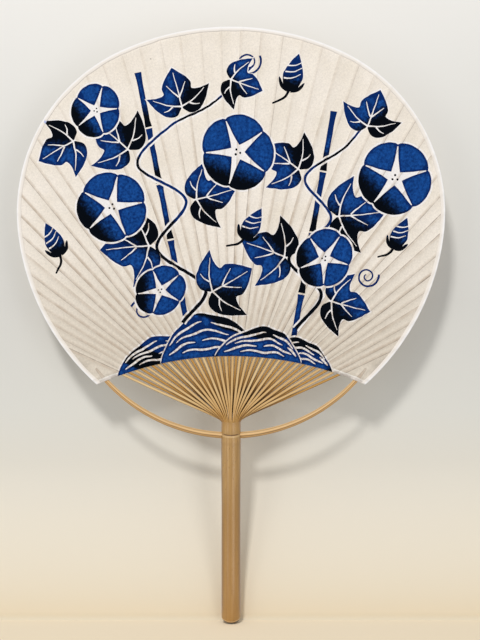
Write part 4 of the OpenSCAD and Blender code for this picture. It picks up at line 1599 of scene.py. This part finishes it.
    def bud(self, frame: Frame2D, black: Shade) -> None:
        """Add a furled bud with undyed spiral lines and its calyx."""
        self.stroke(frame, ((0, 0.04), (-0.06, -0.2), (-0.26, -0.42)), narrowing(1.8, 1.1), True, black)
        self.stencil(self.furl, frame, black)
        for low in (0.3, 0.47, 0.64):
            self.stroke(frame, ((-0.17, low), (0, low + 0.05), (0.14, low + 0.2)), narrowing(0.9, 0.4))
        for way in (-1, 1):
            self.stroke(frame, ((way * 0.03, -0.02), (way * 0.17, 0.1), (way * 0.26, 0.3)), tapered(2.2, 0.2),
                        True, black)

    def vine(self, points: Points, width: float = 2.2, end: float = 1.2) -> None:
        """Add a vine through a few points, with its margin."""
        line = smooth_curve([Vector(point) for point in points], self.point_step)
        self.cut(ribbon(line, narrowing(width + 2 * self.margin, end + 2 * self.margin)), False)
        self.cut(ribbon(line, narrowing(width, end)), True,
                 lambda place: ease(0.5 + 0.9 * math.sin(place.x * 0.09 + place.y * 0.05)))

    def tendril(self, frame: Frame2D, rounds: float) -> None:
        """Add a curling tendril."""
        line = []
        for share in between(0, 1, round(rounds * 26)):
            angle = rounds * 2 * math.pi * share
            radius = mix(0.5, 0.09, share ** 0.8)
            line.append(frame.at(radius * math.sin(angle) * frame.squash, radius * math.cos(angle) - 0.5))
        self.cut(ribbon(line, narrowing(1.3, 0.8)), True)

    def stake(self, low: Vector, high: Vector, joints: int, width: float = 3.4) -> None:
        """Add a slim bamboo stake, its joints left free of dye."""
        way = (high - low).normalized()
        for k in range(joints):
            start = mix(low, high, k / joints) + 0.5 * self.vein * way
            end = mix(low, high, (k + 1) / joints) - 0.5 * self.vein * way
            self.cut(ribbon(between(start, end, 8), flared(width, 0.28)), True,
                     fading(start, end, 0.75 * (end - start).length))

    def over_edge(self, along: float, rise: float) -> Vector:
        """Return a place by its distance along the sheets' lower edge and its height over it."""
        layout = self.layout
        return layout.edge_centre + (layout.edge_r + rise) * toward(along / layout.edge_r)

    def swell(self, start: float, end: float, height: float, lean: float, seed: float) -> None:
        """Add a swell of water that rises from the lower edge, with undyed lines along its back.

        Args:
            start: Where it starts, along the edge.
            end: Where it ends.
            height: Its height over the edge.
            lean: How far its crest leans, as a share of its length.
            seed: The seed of its black.
        """
        def back(level: float, share: float, margin: float = 0.0) -> Vector:
            rise = level * height * math.sin(math.pi * share) ** 0.8
            along = mix(start, end, share) + lean * (end - start) * math.sin(math.pi * share) ** 2
            ripple = 0.7 * math.sin(share * 21 + level * 5)
            return self.over_edge(along, rise + ripple * math.sin(math.pi * share) + margin)

        black = partial(self.stream_black, seed)
        foot = [self.over_edge(along, -2.0) for along in between(end, start, 20)]
        for margin, dyed in ((self.margin, False), (0.0, True)):
            crest = [back(1.0, share, margin) for share in between(0, 1, self.swell_points)]
            self.cut(crest + foot, dyed, black)
        for level, first, last in self.swell_lines:
            self.cut(ribbon([back(level, share) for share in between(first, last, 24)], tapered(1.3)), False)

    def stream_black(self, seed: float, place: Vector) -> float:
        """Return the share of black in a swell."""
        drift = noise.noise(Vector((place.x * 0.025, place.y * 0.06, seed)))
        return ease(0.62 + 2.8 * (drift - 0.05))

    def frame(self, x: float, z: float, size: float, degrees: float, squash: float = 1.0) -> Frame2D:
        """Return the frame of a motif, from one row of a list."""
        return Frame2D(Vector((x, z)), size, math.radians(degrees), squash)

    def build(self) -> list[Motif]:
        """Return every area of the print, in the order of painting."""
        noise.seed_set(self.seed)
        for low, high, joints in self.stakes:
            self.stake(Vector(low), Vector(high), joints)
        for swell in self.swells:
            self.swell(*swell)
        for points in self.vines:
            self.vine(points)
        for *row, rounds in self.tendrils:
            self.tendril(self.frame(*row), rounds)
        for row in self.leaves:
            frame = self.frame(*row, 1.05)
            self.leaf(frame, fading(frame.at(0.35, 0.1), frame.at(-0.6, 0.75), 1.05 * frame.size))
        for row in self.flowers:
            frame = self.frame(*row)
            self.flower(frame, fading(frame.at(-0.7, -0.75), frame.at(0.5, 0.6), 1.3 * frame.size))
        for row in self.buds:
            frame = self.frame(*row, 1.3)
            self.bud(frame, fading(frame.at(0, 0), frame.at(0, 1), 0.8 * frame.size))
        return self.motifs


@dataclass
class Sheet:
    """A cloth sheet pasted over the ribs, cut to the head's outline."""

    layout: Layout
    relief: Relief
    face: Face
    node: str
    step: float = 4.5
    outline_step: float = 2.5
    overshoot: float = 0.6
    dye_step: float = 0.6
    dye_edge_max: float = 4.0
    # Lines beside a rib: shares of its half width, and past 1 of the slope. Then those of the bow.
    rib_lines: tuple[float, ...] = (0.8, 1.45, 2)
    bow_lines: tuple[float, ...] = (-2.6, -2.0, -1.4, -0.7, 0, 0.7, 1.4, 2.0, 2.6)
    # Tones of the paste and painted shade over the bow's tip: of the band, of the shade line and its lean.
    streak_tones: Triple = (1.0, 0.5, 0.45)
    seed: int = 23
    motifs: list[Motif] = field(default_factory=list)
    dyed_faces: list[float] = field(default_factory=list, init=False)
    surface: BVHTree | None = field(default=None, init=False)

    def outline(self) -> list[Vector]:
        """Return the sheet's outline, anticlockwise from the right corner over the top."""
        layout = self.layout
        corner = layout.corner_direction(layout.sheet_inset)
        count = round(2 * layout.rim_length_at(corner) / self.outline_step)
        rim = [layout.rim_point(corner * share, layout.sheet_inset) for share in spread(count)]
        turn = direction_of(rim[-1] - layout.edge_centre)
        count = round(2 * turn * layout.edge_r / self.outline_step)
        edge = [layout.edge_centre + layout.edge_r * toward(-turn * share) for share in spread(count)[1:-1]]
        return (rim + edge)[::-1]

    def ray(self, angle: float) -> list[Vector]:
        """Return places along a ray from the fan's centre, a little past both edges of the sheet."""
        start = self.layout.edge_crossing(angle, -self.overshoot)
        end = self.layout.rim_crossing(angle, self.layout.sheet_inset - self.overshoot)
        return between(start, end, max(round((end - start).length / self.step), 2))

    def rays(self) -> list[list[Vector]]:
        """Return the lines that the relief bends along: beside each rib and in each hollow."""
        layout, relief, gaps = self.layout, self.relief, self.layout.gap_directions
        lines = []
        for i, angle in enumerate(layout.rib_directions):
            for side, reach_out in [(0, 0)] + [(side, out) for out in self.rib_lines for side in (-1, 1)]:
                gap = gaps[min(i, len(gaps) - 1)] if side > 0 else gaps[max(i - 1, 0)]
                line = []
                for place in self.ray(angle):
                    half = relief.beside(place)[1]
                    room = abs((place - layout.fan_centre).length * math.sin(gap - angle)) - half
                    if reach_out > 1 and room < relief.slope * 1.25:
                        continue
                    aside = half * min(reach_out, 1) + relief.slope * max(reach_out - 1, 0)
                    line.append(place + side * aside * right_of(angle))
                lines.append(line)
        return [line for line in lines + [self.ray(angle) for angle in gaps] if len(line) > 1]

    def ridges(self) -> list[list[Vector]]:
        """Return the arcs that the thread's ridge bends along, and those round the bow's tips."""
        layout, half = self.layout, self.relief.ridge_half
        corner = meet(layout.flank_centre, layout.flank_r, layout.edge_centre, layout.thread_r)
        turn = direction_of(corner - layout.edge_centre)
        lines = []
        for offset in (-half, -half / 2, 0, half / 2, half):
            radius = layout.thread_r + offset
            count = round(2 * turn * radius / self.outline_step)
            lines.append([layout.edge_centre + radius * toward(turn * share) for share in spread(count)])
        past = self.relief.bow_slope / layout.bow_r
        arounds = between(layout.bow_taper_end, layout.bow_end_direction + past, 20)
        for side in (-1, 1):
            for offset in self.bow_lines:
                lines.append([layout.bow_centre + (layout.bow_r + offset) * below(side * around)
                              for around in arounds])
        return lines

    def cells(self) -> tuple[Sequence[Vector], Sequence[Sequence[int]], Sequence[Sequence[int]]]:
        """Return the sheet's places, its triangles and the areas that each triangle lies in."""
        points = self.outline()
        faces = [list(range(len(points)))]
        for motif in self.motifs:
            faces.append(list(range(len(points), len(points) + len(motif.outline))))
            points += motif.outline
        edges = []
        for line in self.rays() + self.ridges():
            edges += [(len(points) + k, len(points) + k + 1) for k in range(len(line) - 1)]
            points += line
        places, _, cells, _, _, origins = geometry.delaunay_2d_cdt(points, edges, faces, 1, 1e-4)
        return places, cells, origins

    def add_verts(self, mesh: bmesh.types.BMesh, places: Sequence[Vector]) -> list[Any]:
        """Add the sheet's places to its mesh, with the marks of the paste and painted shade beside the ribs.
        """
        layers = mesh.verts.layers.float
        beside, rib_tone, lean, line_tone = (
            layers.new(name) for name in ("beside_rib", "rib_tone", "rib_lean", "line_tone"))
        chance = random.Random(self.seed)
        tones = [(chance.uniform(0.4, 1.0), chance.uniform(0.0, 1.0), chance.choice((-1, 1, 1, 1)))
                 for _ in self.layout.rib_directions]
        verts = []
        for place in places:
            depth = self.face.value * (self.relief.under(place, self.face) + self.layout.sheet_t)
            vert = mesh.verts.new(in_space(place, depth))
            aside, half, _, _, i = self.relief.beside(place)
            off_streak = self.relief.off_streak(place)
            vert[beside] = min(aside - half, off_streak)
            if off_streak < aside - half:
                vert[rib_tone], vert[line_tone], vert[lean] = self.streak_tones
            else:
                vert[rib_tone], vert[line_tone] = tones[i][:2]
                # rib_lean puts the line of painted shade on the rib's side away from upright, its lower side,
                # on most ribs.
                if aside > half / 2:
                    angle = self.layout.rib_directions[i]
                    turn = direction_of(place - self.layout.fan_centre) - angle
                    vert[lean] = math.copysign(1, turn) * math.copysign(1, angle) * tones[i][2]
            verts.append(vert)
        return verts

    def build(self, finish: bpy.types.Material) -> None:
        """Build the sheet."""
        places, cells, origins = self.cells()
        mesh = bmesh.new()
        dye, resist = (mesh.faces.layers.float.new(name) for name in ("dye", "resist"))
        black = mesh.loops.layers.float.new("black")
        verts = self.add_verts(mesh, places)
        for cell, origin in zip(cells, origins):
            if 0 not in origin:
                continue
            face = mesh.faces.new([verts[k] for k in cell])
            motif = self.motifs[max(origin) - 1] if max(origin) > 0 else None
            if motif and motif.dyed:
                face[dye] = 1.0
                for loop in face.loops:
                    loop[black] = motif.black(Vector((loop.vert.co.x, loop.vert.co.z)))
            elif motif:
                face[resist] = 0.75
        bmesh.ops.delete(mesh, geom=[v for v in mesh.verts if not v.link_faces], context="VERTS")
        face_outward(mesh, lambda face: face.normal.y * self.face.value)
        self.mark_dye_edges(mesh, dye)
        mesh.faces.ensure_lookup_table()
        self.dyed_faces = [face[dye] for face in mesh.faces]
        self.surface = BVHTree.FromBMesh(mesh)
        piece = new_piece(mesh, f"{self.node}_cloth", finish, self.node)
        thicken(piece, self.layout.sheet_t)

    def dye_at(self, place: Vector) -> float:
        """Return 1 where the sheet is dyed at the point nearest to a place, or else 0."""
        return self.dyed_faces[self.surface.find_nearest(place)[2]]

    def mark_dye_edges(self, mesh: bmesh.types.BMesh, dye: Any) -> None:
        """Note each place's distance from the nearest edge of the dye, in millimetres."""
        inward = mesh.verts.layers.float.new("into_dye")
        marks = []
        for edge in mesh.edges:
            if len({face[dye] for face in edge.link_faces}) > 1:
                start, end = (vert.co for vert in edge.verts)
                count = max(round((end - start).length / self.dye_step), 1)
                marks += [start.lerp(end, k / count) for k in range(count + 1)]
        if not marks:
            return
        tree = kdtree.KDTree(len(marks))
        for number, mark in enumerate(marks):
            tree.insert(mark, number)
        tree.balance()
        for vert in mesh.verts:
            vert[inward] = min(tree.find(vert.co)[2], self.dye_edge_max)


@dataclass
class Tape:
    """The paper tape folded over the rim from the front to the back."""

    layout: Layout
    relief: Relief
    front_sheet: Sheet
    step: float = 0.9
    insets: tuple[float, ...] = (3.0, 2.3, 1.6, 0.9, 0.4, 0.12)
    fold_w: float = 1.3
    edge_t: float = 0.03
    unevenness: float = 0.12
    rounds: int = 4

    def height(self, place: Vector, inset: float, face: Face) -> float:
        """Return the depth of the tape's outside at a place, its inner edge rubbed down flat."""
        layout = self.layout
        full = layout.tape_gap + layout.tape_t
        over = mix(full, self.edge_t, ease((inset - self.fold_w) / (layout.tape_w - self.fold_w)))
        return self.relief.under(place, face) + layout.sheet_t + over

    def uneven(self, inset: float, share: float) -> float:
        """Return a distance from the rim, less even than on a machine-cut tape."""
        drift = noise.noise(Vector((share * 40, 0.5, 2.0)))
        return inset * (1 - self.unevenness * (1 + drift)) if inset > self.fold_w else inset

    def ring(self, share: float) -> list[Vector]:
        """Return the tape's section at a share of the way from the top to a corner."""
        layout = self.layout
        insets = [self.uneven(inset, share) for inset in self.insets]
        places = [layout.rim_point(share * layout.corner_direction(inset), inset) for inset in insets]
        front, back = ([in_space(place, face.value * self.height(place, inset, face))
                        for place, inset in zip(places, insets)] for face in Face)
        rim = layout.rim_point(share * layout.corner_direction(0), 0)
        bend = [in_space(rim, depth) for depth in between(front[-1].y, back[-1].y, self.rounds + 1)[1:-1]]
        return front + bend + back[::-1]

    def build(self, finish: bpy.types.Material) -> None:
        """Build the tape."""
        length = 2 * self.layout.rim_length_at(self.layout.corner_direction(0))
        count = round(length / self.step)
        rings = [self.ring(share) for share in spread(count)]
        last = len(rings[0]) - 1
        mesh = bmesh.new()
        bmesh.ops.create_grid(mesh, x_segments=last, y_segments=count, size=0.5)
        folded, dye = mesh.verts.layers.float.new("folded"), mesh.verts.layers.float.new("dye_under")
        for vert in mesh.verts:
            column = round((vert.co.x + 0.5) * last)
            inset = self.insets[min(column, last - column, len(self.insets) - 1)]
            drift = noise.noise(Vector((vert.co.y * 34, 7.5, 0.0)))
            vert[folded] = 1 - ease(inset / (self.fold_w * (1.4 + 0.7 * drift)))
            vert.co = rings[round((vert.co.y + 0.5) * count)][column]
            vert[dye] = self.front_sheet.dye_at(vert.co) if vert.co.y < 0 else 0.0
        face_outward(mesh, lambda face: face.normal.y * face.calc_center_median().y)
        thicken(new_piece(mesh, "rim_tape_paper", finish, "rim_tape"), self.layout.tape_t)


@dataclass
class Studio:
    """The pale backdrop, the soft lamps and the camera."""

    distance: float = 0.65
    frame_h: float = 0.398
    sensor_mm: float = 36.0
    aim: tuple[float, float] = (0.0056, 0.1877)
    lit_at: Triple = (0.0, 0.0, 0.2)
    near: float = 0.0068
    far: float = 0.03
    rise: float = 0.095
    floor_y: float = -0.06
    cove_r: float = 0.0034
    cove_steps: int = 8
    width: float = 3.4
    top_z: float = 1.7
    world: float = 0.5
    world_colour: str = "#F6FAFF"
    # Heights on the backdrop, from the floor's, and its colours there. The floor is painted
    # lighter and the cove darker: painted light and shade that even out how the lamps light them.
    wall: Stops = (
        (-0.0004, "#FCE9CA"), (-0.0002, "#F0E0C3"), (0.0, "#E8DABF"), (0.0004, "#E3D5BB"),
        (0.001, "#DFD1B7"), (0.0017, "#DED0B6"), (0.0029, "#E0D2B8"), (0.0042, "#E3D5BC"), (0.06, "#E0D7C6"),
        (0.13, "#D8D5CC"), (0.2, "#D2CFC8"), (0.3, "#DBD8D1"), (0.4, "#E7E3DC"))
    # Each lamp's name, place, width, height and power. The tall ones mirror along the grip. The one
    # behind stands lower than the floor, which it therefore doesn't light, and isn't mirrored.
    lamps: tuple[tuple[str, tuple[float, float, float], float, float, float], ...] = (
        ("key", (-0.45, -1.5, 1.6), 0.28, 0.28, 23.0), ("fill", (0.9, -1.5, 0.0), 0.6, 1.6, 5.5),
        ("window", (-1.15, -1.4, 0.0), 0.5, 1.6, 3.5), ("behind", (0.3, 1.5, -0.3), 0.8, 0.8, 9.0))

    def build(self) -> None:
        """Build the studio."""
        camera = new_object(bpy.data.cameras.new("camera"), "camera")
        camera.location = (self.aim[0], -self.distance, self.aim[1])
        camera.rotation_euler = (math.pi / 2, 0, 0)
        camera.data.sensor_width = self.sensor_mm
        camera.data.lens = self.sensor_mm * self.distance / self.frame_h
        bpy.context.scene.camera = camera
        self.backdrop()
        for name, place, wide, high, power in self.lamps:
            lamp = bpy.data.lights.new(name, "AREA")
            lamp.shape = "RECTANGLE"
            lamp.size, lamp.size_y, lamp.energy = wide, high, power
            stand = new_object(lamp, name)
            stand.location = place
            stand.visible_glossy = place[1] < 0
            stand.rotation_euler = (Vector(self.lit_at) - Vector(place)).to_track_quat("-Z", "Y").to_euler()
        world = bpy.data.worlds.new("studio")
        world.use_nodes = True
        sky = world.node_tree.nodes["Background"].inputs
        sky["Color"].default_value, sky["Strength"].default_value = paint(self.world_colour), self.world
        bpy.context.scene.world = world
        bpy.context.scene.view_settings.view_transform = "Standard"

    def profile(self) -> list[tuple[float, float]]:
        """Return depths and heights of the backdrop, from the floor up the wall."""
        floor_z = self.wall[0][0]
        points = [(self.floor_y, floor_z)]
        for k in range(self.cove_steps + 1):
            turn = math.pi / 2 * k / self.cove_steps
            points.append((self.near - self.cove_r * (1 - math.sin(turn)),
                           floor_z + self.cove_r * (1 - math.cos(turn))))
        for z in [0.004 * k for k in range(1, 26)] + [0.3, self.top_z]:
            points.append((mix(self.near, self.far, ease(z / self.rise)), z))
        return points

    def backdrop(self) -> None:
        """Build the seamless backdrop: close to the butt, further off behind the head."""
        mesh = bmesh.new()
        points = self.profile()
        last = len(points) - 1
        bmesh.ops.create_grid(mesh, x_segments=1, y_segments=last, size=0.5)
        for vert in mesh.verts:
            depth, z = points[round((vert.co.y + 0.5) * last)]
            vert.co = Vector((vert.co.x * self.width, depth, z))
        data = new_mesh(mesh, "backdrop")
        data.shade_smooth()
        graph = Graph("matt_backdrop")
        height = graph.parts(graph.add("ShaderNodeTexCoord").outputs["Object"])["Z"]
        low, top = self.wall[0][0], self.wall[-1][0]
        # The root spreads the lowest heights, because a ramp is drawn in 256 steps.
        root = graph.calc("SQRT", graph.step(height, low, top, shape=LINEAR))
        colour = graph.ramp(root, *((math.sqrt((z - low) / (top - low)), code) for z, code in self.wall))
        shader = graph.add("ShaderNodeBsdfPrincipled", inputs={
            "Base Color": colour, "Roughness": 0.95, "Specular IOR Level": 0.1})
        # From behind, the camera looks through the backdrop, and light from there reaches the fan.
        camera_ray = graph.add("ShaderNodeLightPath").outputs["Is Camera Ray"]
        unseen = graph.calc("SUBTRACT", graph.calc("GREATER_THAN", height, self.cove_r), camera_ray)
        behind = graph.calc("MAXIMUM", graph.add("ShaderNodeNewGeometry").outputs["Backfacing"], unseen)
        clear = graph.add("ShaderNodeBsdfTransparent")
        shown = graph.add("ShaderNodeMixShader", inputs={
            0: behind, 1: shader.outputs["BSDF"], 2: clear.outputs["BSDF"]})
        data.materials.append(graph.surface(shown.outputs["Shader"]))
        new_object(data, "backdrop")


def main() -> None:
    """Load the frame, build every piece and report it."""
    logging.basicConfig(level=logging.INFO, format="%(message)s")
    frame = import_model()
    layout = Layout()
    relief = Relief(layout)
    Studio().build()
    Ribs(layout).build(SplitBamboo().build())
    bow = Bow(layout)
    bow.build(BentBamboo().build())
    Thread(layout, bow).build(TwistedCotton().build())
    Culm(layout).build(CulmSkin().build())
    end_wood = StainedEndWood().build()
    for slot in frame["nodes"]["butt_plug"].material_slots:
        slot.material = end_wood
    cloth = DyedCotton().build()
    front = Sheet(layout, relief, Face.FRONT, "front_sheet", motifs=MorningGloryPrint(layout).build())
    front.build(cloth)
    Sheet(layout, relief, Face.BACK, "back_sheet").build(cloth)
    Tape(layout, relief, front).build(MulberryPaper().build())


if __name__ == "__main__":
    main()
